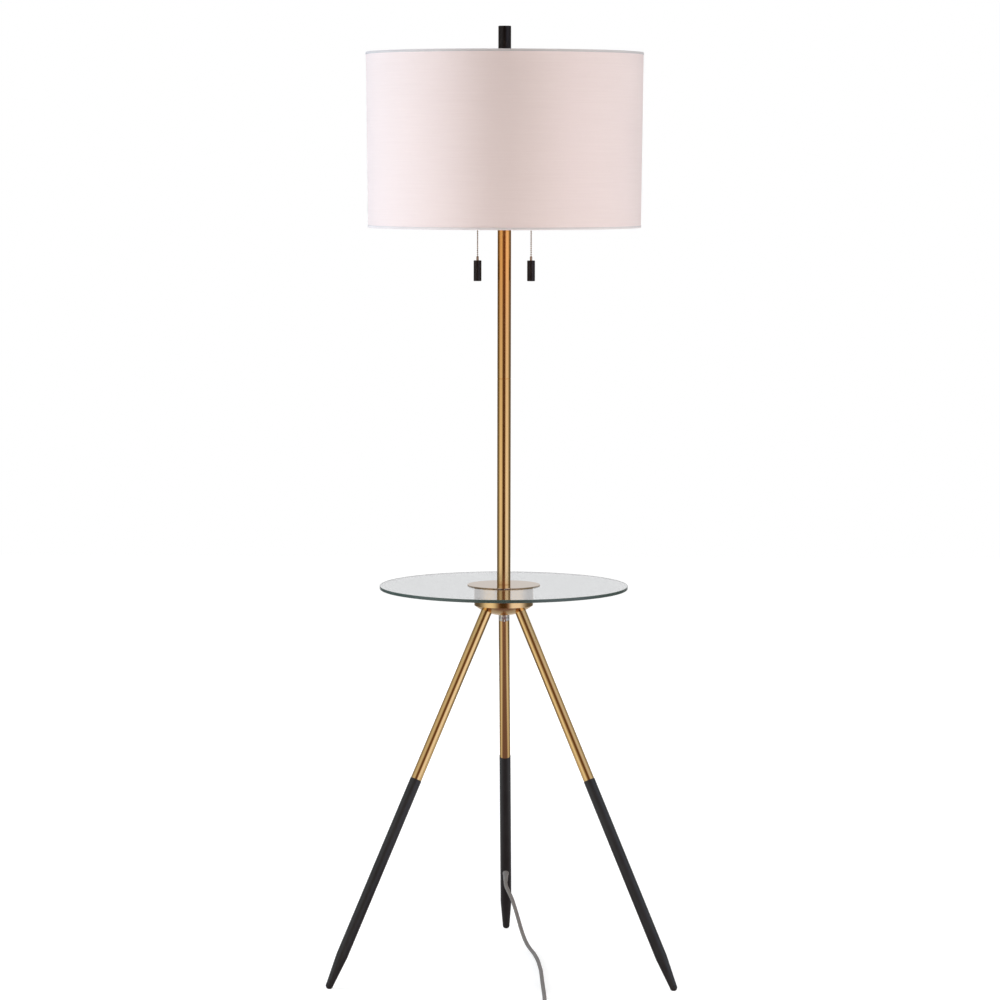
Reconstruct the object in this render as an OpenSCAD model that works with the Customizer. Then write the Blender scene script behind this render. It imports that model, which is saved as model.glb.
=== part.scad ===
// Floor lamp on a splayed tripod, with a round glass table part of the way up its pole.
// The origin is the pole's axis at floor level. +Z is up and one leg points along +Y.

/* [Table] */
// Height of the top face of the glass above the floor
table_h = 608; // [560:1:660]
// Diameter of the glass top
glass_d = 388; // [340:1:440]
// Thickness of the glass top
glass_t = 5; // [4:0.5:8]
// Width of the polished bevel round both edges of the glass
glass_bevel = 0.6; // [0.3:0.1:1.2]
// Diameter of the hole through the middle of the glass
glass_hole_d = 14; // [12:0.5:20]
// Thickness of the rubber ring between the hub and the glass
gasket_t = 1; // [0.5:0.25:2]
// Width of that rubber ring
gasket_w = 9; // [5:0.5:12]
// Diameter of the metal disc on top of the glass
flange_d = 114; // [90:1:140]
// Thickness of the metal disc on top of the glass
flange_t = 1.2; // [1.2:0.1:4]
// Thickness of the clear washer under that disc
flange_pad_t = 0.3; // [0.3:0.1:1.5]
// How far the clear washer's edge lies inside the disc's edge
flange_pad_inset = 2; // [1:0.5:12]

/* [Hub] */
// Diameter of the hub under the glass
hub_d = 92; // [88:1:106]
// Height of the hub's straight wall
hub_wall_h = 25; // [22:1:36]
// Depth of the bowl below the straight wall
hub_bowl_h = 16; // [13:0.5:20]
// Thickness of the hub's straight wall
hub_wall = 3.5; // [2.5:0.25:5]
// Thickness of the hub's bowl
hub_floor = 6; // [5:0.5:7]
// Thickness of the plate that closes the top of the hub
hub_plate_t = 5; // [4:0.5:7]
// Width of the ledge that this plate rests on
hub_ledge = 1.5; // [1:0.25:2]
// Diameter of the angled boss inside the hub for each leg
hub_boss_d = 20; // [18:0.5:22]
// Height of each boss above the outside of the bowl, along the leg
hub_boss_h = 14; // [11:0.5:16]
// Depth of the recess in the bowl that takes the end of each leg
leg_recess = 3; // [2:0.25:4]
// Diameter of the posts that take the plate's screws
post_d = 9; // [8:0.5:10]
// Diameter of the plate's screws
screw_d = 4; // [3:0.5:5]
// Length of the plate's screws
screw_len = 14; // [10:1:16]
// Width across the flats of the nut under the plate
nut_w = 16; // [15:0.5:18]
// Thickness of the nut under the plate
nut_t = 5; // [4:0.5:6]

/* [Legs] */
// Lean of each leg away from upright, in degrees
leg_tilt = 26; // [22:0.1:30]
// Distance from the pole's axis to the point where a leg's axis meets the bowl
leg_ring_r = 31; // [27:0.5:31.5]
// Diameter of the upper leg tubes
leg_upper_d = 17; // [15.5:0.5:17.5]
// Length of each upper leg below the bowl, along the leg
leg_upper_len = 282.5; // [240:0.5:320]
// Wall thickness of the upper leg tubes
leg_upper_wall = 1.2; // [1:0.1:1.5]
// Diameter of the lower legs
leg_lower_d = 18; // [16:0.5:20]
// Wall thickness of the lower legs
leg_lower_wall = 1.5; // [1:0.1:2]
// Width of the turned edge round the top of each lower leg
leg_lower_bevel = 0.7; // [0.3:0.1:1]
// Length of the taper at the foot of each lower leg
leg_taper_len = 47; // [40:1:90]
// Diameter of the foot end of each lower leg
leg_tip_d = 11.5; // [9:0.5:13]
// Height of the straight part of each foot glide
glide_h = 2; // [1:0.25:4]
// How far the round foot glide is worn flat where it stands
glide_flat = 0.8; // [0.5:0.1:1.5]
// Diameter of the glide's peg
glide_peg_d = 6; // [4:0.5:6.5]
// Length of the glide's peg
glide_peg_len = 12; // [8:1:20]
// Diameter of the nut at the top of the leg that carries the wiring
leg_nut_d = 17.2; // [16:0.1:18]
// Length of that nut below the bowl
leg_nut_len = 19.5; // [12:0.5:26]

/* [Pole] */
// Diameter of both pole sections
pole_d = 21; // [19:0.5:26]
// Wall thickness of the pole sections
pole_wall = 1.2; // [1:0.1:2]
// Length of the lower pole section
pole_lower_len = 322; // [280:1:380]
// Length of the upper pole section
pole_upper_len = 328; // [280:1:380]
// Width of the turned edge at the ends of the pole sections
pole_bevel = 0.4; // [0.2:0.1:0.8]
// Length of the threaded bushes pressed into the tubes
bush_len = 14; // [12:1:20]
// Outer diameter of the hollow threaded rods
stud_d = 10; // [9.5:0.25:10.5]
// Bore of the hollow threaded rods
stud_bore = 6.4; // [5.5:0.1:6.6]

/* [Shade] */
// Outer diameter of the shade at its top
shade_top_d = 428.4; // [400:0.2:460]
// How much less the shade measures across at its bottom
shade_flare = 5.6; // [0:0.2:20]
// Height of the shade
shade_h = 268.5; // [240:0.5:300]
// Thickness of the shade's stiffened fabric
shade_t = 1.2; // [0.8:0.1:2]
// Height of the rolled edges of the shade
trim_h = 3; // [2:0.25:6]
// Thickness of the rolled edges of the shade
trim_t = 0.5; // [0.4:0.1:1]
// Diameter of the wire of the shade's rings
wire_d = 3.2; // [3:0.1:4]
// Diameter of the wire of the shade's three arms
arm_d = 2.6; // [2.2:0.1:2.8]
// Depth of the shade's seat below its top edge
shade_drop = 11.5; // [10:0.5:30]
// Diameter of the washer in the middle of the shade's arms
washer_d = 28; // [24:1:34]
// Thickness of that washer
washer_t = 1.6; // [1.2:0.1:2.5]
// Diameter of the finial
finial_d = 19.8; // [16:0.2:24]
// Height of the finial
finial_h = 51; // [30:1:60]
// Depth of the finial's threaded hole
finial_hole = 16; // [12:1:20]

/* [Sockets] */
// Height of the turned body that carries the two sockets
cluster_h = 34; // [32:0.5:44]
// Diameter of that body
cluster_d = 32; // [30:0.5:34]
// Distance between the two flats on that body
cluster_flats = 29; // [27:0.5:29.5]
// Height of the sockets' axis above the top of the pole
socket_rise = 18.7; // [17:0.1:20]
// Height of the rod from that body to the shade's seat
riser_len = 130; // [110:1:150]
// Diameter of the seat under the shade
seat_d = 22; // [18:0.5:26]
// Height of the seat under the shade
seat_h = 8; // [6:0.5:12]
// Outer diameter of the socket caps
cap_d = 37; // [36:0.5:40]
// Wall thickness of the socket caps
cap_wall = 1; // [0.8:0.1:1.2]
// Length of the socket caps
cap_len = 20; // [18:0.5:21]
// Wall thickness of the socket shells
shell_wall = 1; // [0.8:0.1:1.3]
// Distance from the cluster's flat to the mouth of each socket
socket_len = 48; // [46:0.5:54]
// Diameter of the bulbs' metal bases
base_d = 26.4; // [26:0.1:27]
// Length of the bulbs' metal bases
base_len = 22; // [20:0.5:24]
// Diameter of the bulbs
bulb_d = 60; // [50:1:65]
// Length of the bulbs' glass
bulb_len = 84; // [75:1:92]
// Thickness of the bulbs' glass
bulb_wall = 0.8; // [0.5:0.1:1.5]

/* [Pull chains] */
// Distance from the pole's axis to each chain
chain_x = 41.5; // [40:0.5:43]
// Diameter of the chains' beads
bead_d = 2.4; // [2:0.1:2.6]
// Distance from one bead to the next
bead_pitch = 3.2; // [3:0.1:3.6]
// Diameter of the links between the beads
link_d = 0.9; // [0.7:0.1:1.1]
// Number of beads below the mouth of each socket's guide
chain_beads = 41; // [30:1:46]
// Length of the cup that joins each chain to its pull
cup_len = 8; // [7:0.5:10]
// Diameter of the chain pulls
pull_d = 12.2; // [8:0.2:14]
// Length of the chain pulls
pull_len = 32; // [20:0.5:40]
// Length by which a pull chain travels
pull_travel = 9; // [7:0.5:9.5]

/* [Cord] */
// Diameter of the power cord
cord_d = 6.2; // [5.5:0.1:6.2]
// Diameter of the wiring inside the lamp
wiring_d = 3.6; // [3:0.1:4.5]
// Distance along the wired leg from its foot end up to the cord's outlet
outlet_up = 112; // [80:1:180]
// Diameter of the cord's outlet bushing where it passes through the leg
outlet_d = 8; // [7:0.5:9]
// Length of the tapered strain relief on that bushing
outlet_h = 20; // [15:1:30]
// Inner radius of the coiled cord, at the middle of its turns
coil_in = 28.8; // [26:0.2:34]
// Turns in each layer of the coiled cord
coil_turns = 2.375; // [2.375:1:3.375]
// Clear space between the coiled cord's turns
coil_gap = 0.6; // [0.6:0.1:0.8]
// Length of cord between the coil and the plug
coil_tail = 30; // [20:1:40]
// Length of the tapered strain relief on the plug
plug_relief = 30; // [20:1:45]
// Length of the plug's body
plug_len = 24; // [20:1:32]
// Width of the plug's body
plug_w = 24; // [22:1:28]
// Length of the plug's blades
blade_len = 17; // [15:0.5:18]
// Width of the plug's blades
blade_w = 6.3; // [6:0.1:6.6]
// Thickness of the plug's blades
blade_t = 1.5; // [1.4:0.1:1.6]
// Distance between the middles of the plug's blades
blade_gap = 12.7; // [12.5:0.1:12.9]

/* [Hidden] */
$fn = 72;
// Radial clearance of a piece that sits in another
fit = 0.05;
// Angles of the three legs round the pole, the first of them the wired one
leg_angles = [90, 210, 330];
// Heights from the floor up
glass_z = table_h - glass_t;
rim_z = glass_z - gasket_t;
edge_z = rim_z - hub_wall_h;
bowl_z = edge_z - hub_bowl_h;
hub_r = hub_d / 2;
bowl_r = (hub_r * hub_r + hub_bowl_h * hub_bowl_h) / (2 * hub_bowl_h);
bowl_c = bowl_z + bowl_r;
plate_z = rim_z - hub_plate_t;
flange_z = table_h + flange_pad_t;
pole_z = flange_z + flange_t;
seam_z = pole_z + pole_lower_len;
pole_top = seam_z + pole_upper_len;
socket_z = pole_top + socket_rise;
cluster_top = pole_top + cluster_h;
seat_z = cluster_top + riser_len;
shade_top = seat_z + shade_drop;
shade_bottom = shade_top - shade_h;
shade_bottom_d = shade_top_d - shade_flare;
finial_z = seat_z + washer_t;
// A leg's own frame starts where its axis meets the bowl, with +Z up the leg
leg_z = bowl_c - sqrt(bowl_r * bowl_r - leg_ring_r * leg_ring_r);
glide_c = (leg_z - leg_tip_d / 2 + glide_flat) / cos(leg_tilt);
leg_end = glide_c - glide_h;
outlet_s = leg_end - outlet_up;
stud_hole = stud_d + 2 * fit;
stud_grip = bush_len - 3;
// Socket values along the socket's own axis, from the cluster's flat
flat_x = cluster_flats / 2;
shell_r = cap_d / 2 - cap_wall - fit;
core_r = shell_r - shell_wall - fit;
chain_s = chain_x - flat_x;
shell_s = cap_len - 5;
core_s = shell_s + 0.5;
core_end = chain_s + 7;
contact_t = 2;
tip_s = core_end + contact_t;
base_end = tip_s + base_len;
screw_wall = 0.5;
screw_r = base_d / 2 + 0.2;
clip_w = 5;
clip_h = 4;
clip_top = 2;
guide_r = 3.3;
pocket_w = 2 * guide_r + 0.4;
guide_low = shell_r + 8.6;
guide_top = clip_top + clip_h + pull_travel + 0.5;
pivot_z = socket_z - guide_low;
inner_beads = floor((guide_low - clip_top - clip_h) / bead_pitch);
pull_top = pivot_z - (chain_beads * bead_pitch + bead_d / 2 + cup_len - bead_pitch);
// Clearance between the shade's wires and its fabric
wire_gap = 0.15;
// The spacing of the coil's turns and of its layers, and its middle
coil_step = cord_d + coil_gap;
coil_rise = cord_d + 0.5;
coil_out = coil_in + coil_turns * coil_step;
coil_rings = 24;
cord_z = cord_d / 2 + 0.2;
coil_mid = [22, -338];
coil_start = coil_mid + [coil_out, 0];
coil_sum = 2 * coil_turns + 0.5;
plug_z = cord_z + coil_rise;
// The free cord's route from the strain relief down to the floor and along it to the coil
run_points = [
  leg_pt(outlet_s, -leg_lower_d / 2 - outlet_h),
  leg_pt(outlet_s, -leg_lower_d / 2 - outlet_h - 6.5),
  [1.3, 217.2, 87.7],
  [3.9, 211.6, 82.9],
  [6.9, 206.6, 77.9],
  [10.2, 202, 72.4],
  [13.6, 196.6, 64],
  [17.2, 190.3, 54],
  [21, 182.8, 43],
  [24.6, 174.5, 32],
  [28.4, 164.4, 21.8],
  [32.6, 152, 13.4],
  [37.4, 136.5, 7.5],
  [42.8, 117, 4.2],
  [48, 94, cord_z],
  [54.5, 45, cord_z],
  [60, -30, cord_z],
  [63, -120, cord_z],
  [coil_start[0], -220, cord_z],
  [coil_start[0], coil_start[1] + cord_d, cord_z]
];

// ---- placing and repeated shapes ----

// Puts a piece drawn in a leg's own frame on the leg at this angle
module on_leg(a) {
  rotate([0, 0, a])
    translate([leg_ring_r, 0, leg_z])
      rotate([0, -leg_tilt, 0])
        children();
}

// Puts a piece drawn along +Z on a socket's axis, side 1 to the right and -1 to the left
module on_socket(side) {
  translate([side * flat_x, 0, socket_z])
    rotate([0, side * 90, 0])
      children();
}

// Upright ring or tube from height z1 to z2
module ring(z1, z2, d_out, d_in) {
  translate([0, 0, z1])
    difference() {
      cylinder(h = z2 - z1, d = d_out);
      translate([0, 0, -1])
        cylinder(h = z2 - z1 + 2, d = d_in);
    }
}

// Tube from z1 to z2 with a small bevel round the outside of each end
module bevelled_tube(z1, z2, d_out, wall, bevel) {
  r = d_out / 2;
  rotate_extrude()
    polygon([
      [r - wall, z1], [r - bevel, z1], [r, z1 + bevel], [r, z2 - bevel],
      [r - bevel, z2], [r - wall, z2]
    ]);
}

// Hollow threaded rod from z1 to z2, drawn at the thread's outer diameter
module stud(z1, z2) {
  ring(z1, z2, stud_d, stud_bore);
}

// Threaded bush from z1 to z2 inside a tube of this size
module bush(z1, z2, d_out, wall) {
  ring(z1, z2, d_out - 2 * wall - 2 * fit, stud_hole);
}

// ---- hub and table ----

// Turned cup with a round bowl, an angled boss for each leg and a post for each screw
module hub_shell() {
  color("#b98245")
    difference() {
      union() {
        difference() {
          union() {
            translate([0, 0, edge_z])
              cylinder(h = hub_wall_h, r = hub_r);
            intersection() {
              translate([0, 0, bowl_c])
                sphere(r = bowl_r, $fn = 144);
              translate([0, 0, bowl_z - 1])
                cylinder(h = hub_bowl_h + 1, r = hub_r);
            }
          }
          translate([0, 0, edge_z])
            cylinder(h = hub_wall_h + 1, r = hub_r - hub_wall);
          intersection() {
            translate([0, 0, bowl_c])
              sphere(r = bowl_r - hub_floor, $fn = 144);
            translate([0, 0, bowl_z - 1])
              cylinder(h = hub_bowl_h + 2, r = hub_r - hub_wall);
          }
        }
        for (a = leg_angles)
          on_leg(a)
            translate([0, 0, leg_recess])
              cylinder(h = hub_boss_h - leg_recess, d = hub_boss_d);
        for (a = leg_angles)
          rotate([0, 0, a + 60])
            translate([hub_r - hub_wall - post_d / 2 + 0.5, 0, edge_z - 1])
              cylinder(h = plate_z - edge_z + 1, d = post_d);
      }
      translate([0, 0, plate_z])
        cylinder(h = hub_plate_t + 1, r = hub_r - hub_wall + hub_ledge);
      for (a = leg_angles)
        on_leg(a)
          translate([0, 0, -20])
            cylinder(h = 20 + hub_boss_h + 1, d = stud_hole);
      for (a = leg_angles)
        on_leg(a)
          translate([0, 0, -20])
            cylinder(h = 20 + leg_recess, d = (a == leg_angles[0] ? leg_nut_d : leg_upper_d) + 2 * fit);
      for (a = leg_angles)
        rotate([0, 0, a + 60])
          translate([hub_r - hub_wall - post_d / 2, 0, rim_z - screw_len - 1])
            cylinder(h = screw_len + 2, d = screw_d + 2 * fit);
    }
}

// Plate that closes the hub and carries the rod up through the glass
module hub_plate() {
  color("#8c8c8c")
    difference() {
      ring(plate_z, rim_z, 2 * (hub_r - hub_wall + hub_ledge - fit), stud_hole);
      for (a = leg_angles)
        rotate([0, 0, a + 60])
          translate([hub_r - hub_wall - post_d / 2, 0, 0])
            screw_shape(fit);
    }
}

// Countersunk screw from the top of the plate down, grown by g all round
module screw_shape(g) {
  r = screw_d / 2;
  rotate_extrude()
    polygon([
      [0, rim_z - screw_len], [r + g, rim_z - screw_len], [r + g, rim_z - r - 0.4],
      [2 * r + g, rim_z - 0.4], [2 * r + g, rim_z], [0, rim_z]
    ]);
}

// The plate's three screws, each with a cross recess
module hub_screws() {
  color("silver")
    for (a = leg_angles)
      rotate([0, 0, a + 60])
        translate([hub_r - hub_wall - post_d / 2, 0, 0])
          difference() {
            screw_shape(0);
            translate([-screw_d * 0.5, -0.4, rim_z - 1.2])
              cube([screw_d, 0.8, 2]);
            translate([-0.4, -screw_d * 0.5, rim_z - 1.2])
              cube([0.8, screw_d, 2]);
          }
}

// Hollow rod that ties the hub, the glass and the pole together
module hub_nipple() {
  color("silver")
    stud(plate_z - nut_t - 3, pole_z + stud_grip);
}

// Six-sided nut under the plate
module hub_nut() {
  color("silver")
    translate([0, 0, plate_z - nut_t])
      difference() {
        cylinder(h = nut_t, d = nut_w / cos(30), $fn = 6);
        translate([0, 0, -1])
          cylinder(h = nut_t + 2, d = stud_hole);
      }
}

// Flat rubber ring between the rim of the hub and the glass
module glass_gasket() {
  color("#303030")
    ring(rim_z, glass_z, 2 * (hub_r - 1), 2 * (hub_r - 1 - gasket_w));
}

// Round tempered glass with a bevelled edge and a hole for the rod
module glass_top() {
  r = glass_d / 2;
  b = glass_bevel;
  color([0.75, 0.9, 0.85, 0.5])
    rotate_extrude($fn = 180)
      polygon([
        [glass_hole_d / 2, glass_z], [r - b, glass_z], [r, glass_z + b], [r, table_h - b],
        [r - b, table_h], [glass_hole_d / 2, table_h]
      ]);
}

// Clear washer that keeps the metal disc off the glass
module flange_pad() {
  color([0.9, 0.9, 0.9, 0.5])
    ring(table_h, flange_z, flange_d - 2 * flange_pad_inset, glass_hole_d);
}

// Metal disc that the foot of the pole clamps on the glass
module table_flange() {
  r = flange_d / 2;
  color("#c8a070")
    rotate_extrude($fn = 120)
      polygon([
        [stud_hole / 2, flange_z], [r - 0.4, flange_z], [r, flange_z + 0.4],
        [r, pole_z - 0.7], [r - 0.7, pole_z], [stud_hole / 2, pole_z]
      ]);
}

// ---- legs ----

// Upper tube of the leg at this angle, starting at s below the outside of the bowl
module leg_upper(a, s) {
  color("#c79a5b")
    on_leg(a)
      ring(-leg_upper_len, -s, leg_upper_d, leg_upper_d - 2 * leg_upper_wall);
}

module leg_upper_left() {
  leg_upper(leg_angles[1], -leg_recess);
}

module leg_upper_right() {
  leg_upper(leg_angles[2], -leg_recess);
}

module leg_upper_back() {
  leg_upper(leg_angles[0], leg_nut_len);
}

// Lower leg: a tube with a turned top edge, swaged down to a narrow foot
module leg_lower(a) {
  r = leg_lower_d / 2;
  bore = r - leg_lower_wall;
  taper_s = leg_end - leg_taper_len;
  color("#2b2b2b")
    on_leg(a)
      rotate_extrude()
        polygon([
          [bore, -leg_upper_len], [r - leg_lower_bevel, -leg_upper_len],
          [r, -leg_upper_len - leg_lower_bevel], [r, -taper_s], [leg_tip_d / 2, -leg_end],
          [glide_peg_d / 2 + fit, -leg_end], [glide_peg_d / 2 + fit, -leg_end + glide_peg_len + 1],
          [bore, -taper_s]
        ]);
}

module leg_lower_left() {
  leg_lower(leg_angles[1]);
}

module leg_lower_right() {
  leg_lower(leg_angles[2]);
}

module leg_lower_back() {
  color("#2b2b2b")
    difference() {
      leg_lower(leg_angles[0]);
      on_leg(leg_angles[0])
        translate([0, 0, -outlet_s])
          rotate([0, -90, 0])
            cylinder(h = leg_lower_d, d = outlet_d + 2 * fit);
    }
}

// Threaded rods that hold the legs to the hub, the wired leg's one reaching through its nut
module leg_top_studs() {
  color("silver")
    for (a = leg_angles)
      on_leg(a)
        stud(-stud_grip + (a == leg_angles[0] ? -leg_nut_len : leg_recess), hub_boss_h);
}

// Bushes in the tops of the upper leg tubes
module leg_top_bushes() {
  color("silver")
    for (a = leg_angles)
      on_leg(a)
        translate([0, 0, a == leg_angles[0] ? -leg_nut_len : leg_recess])
          bush(-bush_len, 0, leg_upper_d, leg_upper_wall);
}

// Threaded rods that hold the lower legs to the upper ones
module leg_joint_studs() {
  color("silver")
    for (a = leg_angles)
      on_leg(a)
        translate([0, 0, -leg_upper_len])
          stud(-stud_grip, stud_grip);
}

// Bushes in the facing ends of the upper and lower leg tubes
module leg_joint_bushes() {
  color("silver")
    for (a = leg_angles)
      on_leg(a)
        translate([0, 0, -leg_upper_len]) {
          bush(0, bush_len, leg_upper_d, leg_upper_wall);
          bush(-bush_len, 0, leg_lower_d, leg_lower_wall);
        }
}

// Round foot glides, each flat where it stands and pegged into its leg
module foot_glides() {
  r = leg_tip_d / 2;
  color("#1e1e1e")
    for (a = leg_angles)
      intersection() {
        on_leg(a)
          union() {
            intersection() {
              translate([0, 0, -glide_c])
                sphere(r = r);
              translate([0, 0, -glide_c - r])
                cylinder(h = r + glide_h, r = r);
            }
            translate([0, 0, -glide_c])
              cylinder(h = glide_h, r = r);
            translate([0, 0, -leg_end])
              cylinder(h = glide_peg_len, d = glide_peg_d);
          }
        translate([-1000, -1000, 0])
          cube([2000, 2000, 200]);
      }
}

// Plated nut that lets the wired leg be fixed without twisting the wiring
module wired_leg_nut() {
  color("#c9c9c9")
    on_leg(leg_angles[0])
      ring(-leg_nut_len, leg_recess, leg_nut_d, stud_hole);
}

// Cord outlet: a soft bushing in the wall of the wired leg, on the side that faces the pole
// It ends in a tapered strain relief that is moulded round the cord
module cord_bushing() {
  r = leg_lower_d / 2;
  q = outlet_d / 2;
  h = wiring_d / 2 + fit;
  tip = cord_d / 2 + 0.5;
  color("#8f8f8f")
    on_leg(leg_angles[0])
      translate([0, 0, -outlet_s])
        rotate([0, -90, 0])
          rotate_extrude()
            polygon([
              [h, r - leg_lower_wall - 1], [q, r - leg_lower_wall - 1], [q, r], [q + 1.2, r],
              [q + 1.2, r + 1.4], [q + 0.4, r + 2], [tip, r + outlet_h - 0.4],
              [tip - 0.4, r + outlet_h], [h, r + outlet_h]
            ]);
}

// ---- pole ----

module lower_pole() {
  color("#c79a5b")
    bevelled_tube(pole_z, seam_z, pole_d, pole_wall, pole_bevel);
}

module upper_pole() {
  color("#c79a5b")
    bevelled_tube(seam_z, pole_top, pole_d, pole_wall, pole_bevel);
}

// Threaded rod that joins the two pole sections
module pole_joint_stud() {
  color("silver")
    stud(seam_z - stud_grip, seam_z + stud_grip);
}

// Bushes in all four ends of the pole sections
module pole_bushes() {
  color("silver") {
    bush(pole_z, pole_z + bush_len, pole_d, pole_wall);
    bush(seam_z - bush_len, seam_z, pole_d, pole_wall);
    bush(seam_z, seam_z + bush_len, pole_d, pole_wall);
    bush(pole_top - bush_len, pole_top, pole_d, pole_wall);
  }
}

// ---- sockets ----

// Threaded rod between the pole and the cluster body
module cluster_nipple() {
  color("silver")
    stud(pole_top - stud_grip, pole_top + socket_rise / 2);
}

// Turned body with two flats, hollow for the wiring, that carries the sockets and the riser
module cluster_body() {
  r = cluster_d / 2;
  low = socket_rise / 2;
  color("#b98245")
    difference() {
      intersection() {
        translate([0, 0, pole_top])
          rotate_extrude()
            polygon([
              [0, 0], [r - 3, 0], [r, 4], [r, cluster_h - 7], [r - 6, cluster_h - 1],
              [r - 7, cluster_h], [0, cluster_h]
            ]);
        translate([-flat_x, -r - 1, pole_top - 1])
          cube([cluster_flats, 2 * r + 2, cluster_h + 2]);
      }
      translate([0, 0, pole_top - 1])
        cylinder(h = cluster_h + 2, d = stud_hole);
      translate([0, 0, pole_top + low])
        cylinder(h = 2 * (socket_rise - low), d = stud_d + 6);
      translate([-r - 1, 0, socket_z])
        rotate([0, 90, 0])
          cylinder(h = 2 * r + 2, d = stud_hole);
    }
}

// Short threaded rods from the cluster body into the socket caps
module socket_nipples() {
  color("silver")
    for (side = [-1, 1])
      on_socket(side)
        stud(-stud_d / 2 + fit, 8);
}

// Cone-shaped cap at the back of a socket
module socket_cap(side) {
  r = cap_d / 2;
  w = cap_wall;
  color("#c79a5b")
    on_socket(side)
      rotate_extrude()
        polygon([
          [stud_hole / 2, 0], [8, 0], [8, 3], [r, shell_s - 1], [r, cap_len], [r - w, cap_len],
          [r - w, shell_s - 0.6], [8 - w / 2, 4.4], [stud_hole / 2, 4.4]
        ]);
}

module socket_cap_left() {
  socket_cap(-1);
}

module socket_cap_right() {
  socket_cap(1);
}

// Shell of a socket, with a rolled mouth and a hole for the chain's guide
module socket_shell(side) {
  r = shell_r;
  w = shell_wall;
  color("#c79a5b")
    difference() {
      on_socket(side)
        rotate_extrude()
          polygon([
            [r - w, shell_s], [r, shell_s], [r, socket_len - 2], [r + 0.8, socket_len - 1.4],
            [r + 0.8, socket_len - 0.6], [r, socket_len], [r - w, socket_len]
          ]);
      translate([side * chain_x, 0, pivot_z])
        cylinder(h = guide_low, r = guide_r + fit);
    }
}

module socket_shell_left() {
  socket_shell(-1);
}

module socket_shell_right() {
  socket_shell(1);
}

// Moulded insulator of a socket, with the pocket that the pull switch works in
module socket_core(side) {
  color("#1c1c1c")
    difference() {
      on_socket(side)
        union() {
          translate([0, 0, core_s])
            cylinder(h = core_end - core_s, r = core_r);
          translate([0, 0, core_s - 6])
            cylinder(h = 7, d = stud_d);
        }
      translate([side * chain_x - pocket_w / 2, -pocket_w / 2, socket_z - core_r - 1])
        cube([pocket_w, pocket_w, core_r + 1 - clip_top]);
    }
}

module socket_core_left() {
  socket_core(-1);
}

module socket_core_right() {
  socket_core(1);
}

// Thin metal shells that take the bulbs' bases
module screw_shells() {
  color("#c0c0c0")
    for (side = [-1, 1])
      on_socket(side)
        difference() {
          translate([0, 0, core_end])
            cylinder(h = socket_len - 1 - core_end, r = screw_r + screw_wall);
          translate([0, 0, core_end + screw_wall])
            cylinder(h = socket_len, r = screw_r);
          translate([0, 0, core_end - 1])
            cylinder(h = 4, r = 6);
        }
}

// Centre contacts that touch the tips of the bulbs
module socket_contacts() {
  color("#b08040")
    for (side = [-1, 1])
      on_socket(side)
        translate([0, 0, core_end]) {
          cylinder(h = contact_t / 2, r = 4.6);
          cylinder(h = contact_t, r = 2.2);
        }
}

// Flared guides that lead the chains out of the socket shells
module chain_guides() {
  b = bead_d / 2 + 0.45;
  color("#c79a5b")
    for (side = [-1, 1])
      translate([side * chain_x, 0, socket_z])
        rotate_extrude()
          polygon([
            [b, -guide_top], [guide_r, -guide_top], [guide_r, -shell_r],
            [guide_r + 1.2, -shell_r], [guide_r + 1.2, -shell_r - 1.4],
            [guide_r, -shell_r - 2], [guide_r - 0.4, -guide_low + 2],
            [guide_r + 1.2, -guide_low], [b + 1.4, -guide_low], [b, -guide_low + 2]
          ]);
}

// ---- bulbs ----

// Metal base of a bulb with its insulated tip
module bulb_base(side) {
  r = base_d / 2;
  color("#b8b8b8")
    on_socket(side)
      rotate_extrude()
        polygon([
          [0, tip_s], [4, tip_s], [4.6, tip_s + 0.8], [9, tip_s + 2.4], [r - 0.8, tip_s + 3],
          [r, tip_s + 3.8], [r, base_end], [r - 0.6, base_end], [r - 0.6, tip_s + 4.4],
          [0, tip_s + 4.4]
        ]);
}

module bulb_base_left() {
  bulb_base(-1);
}

module bulb_base_right() {
  bulb_base(1);
}

// Outline of a bulb's glass moved inwards by g, up to the tangent with its round end
module bulb_form(g) {
  n = base_d / 2 - 0.6 - g;
  r = bulb_d / 2 - g;
  c = bulb_len - bulb_d / 2;
  far = sqrt(c * c + n * n);
  lean = asin(r / far) - atan(n / c);
  run = sqrt(far * far - r * r);
  union() {
    translate([0, 0, c])
      sphere(r = r);
    cylinder(h = run * cos(lean), r1 = n, r2 = n + run * sin(lean));
  }
}

// Pear-shaped glass of a bulb
module bulb_glass(side) {
  color([1, 1, 1, 0.8])
    on_socket(side)
      translate([0, 0, base_end])
        difference() {
          bulb_form(0);
          bulb_form(bulb_wall);
          translate([0, 0, -1])
            cylinder(h = 2, r = base_d / 2 - 0.6 - bulb_wall);
        }
}

module bulb_glass_left() {
  bulb_glass(-1);
}

module bulb_glass_right() {
  bulb_glass(1);
}

// ---- pull chains ----

// Outline of n beads that hang from height 0, the first bead's middle one pitch down
module bead_line(n) {
  intersection() {
    union() {
      for (i = [1 : n])
        translate([0, -i * bead_pitch])
          circle(d = bead_d, $fn = 24);
      translate([0, -n * bead_pitch])
        square([link_d / 2, (n - 1) * bead_pitch]);
    }
    translate([0, -(n + 1) * bead_pitch])
      square([bead_d, (n + 1) * bead_pitch]);
  }
}

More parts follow.
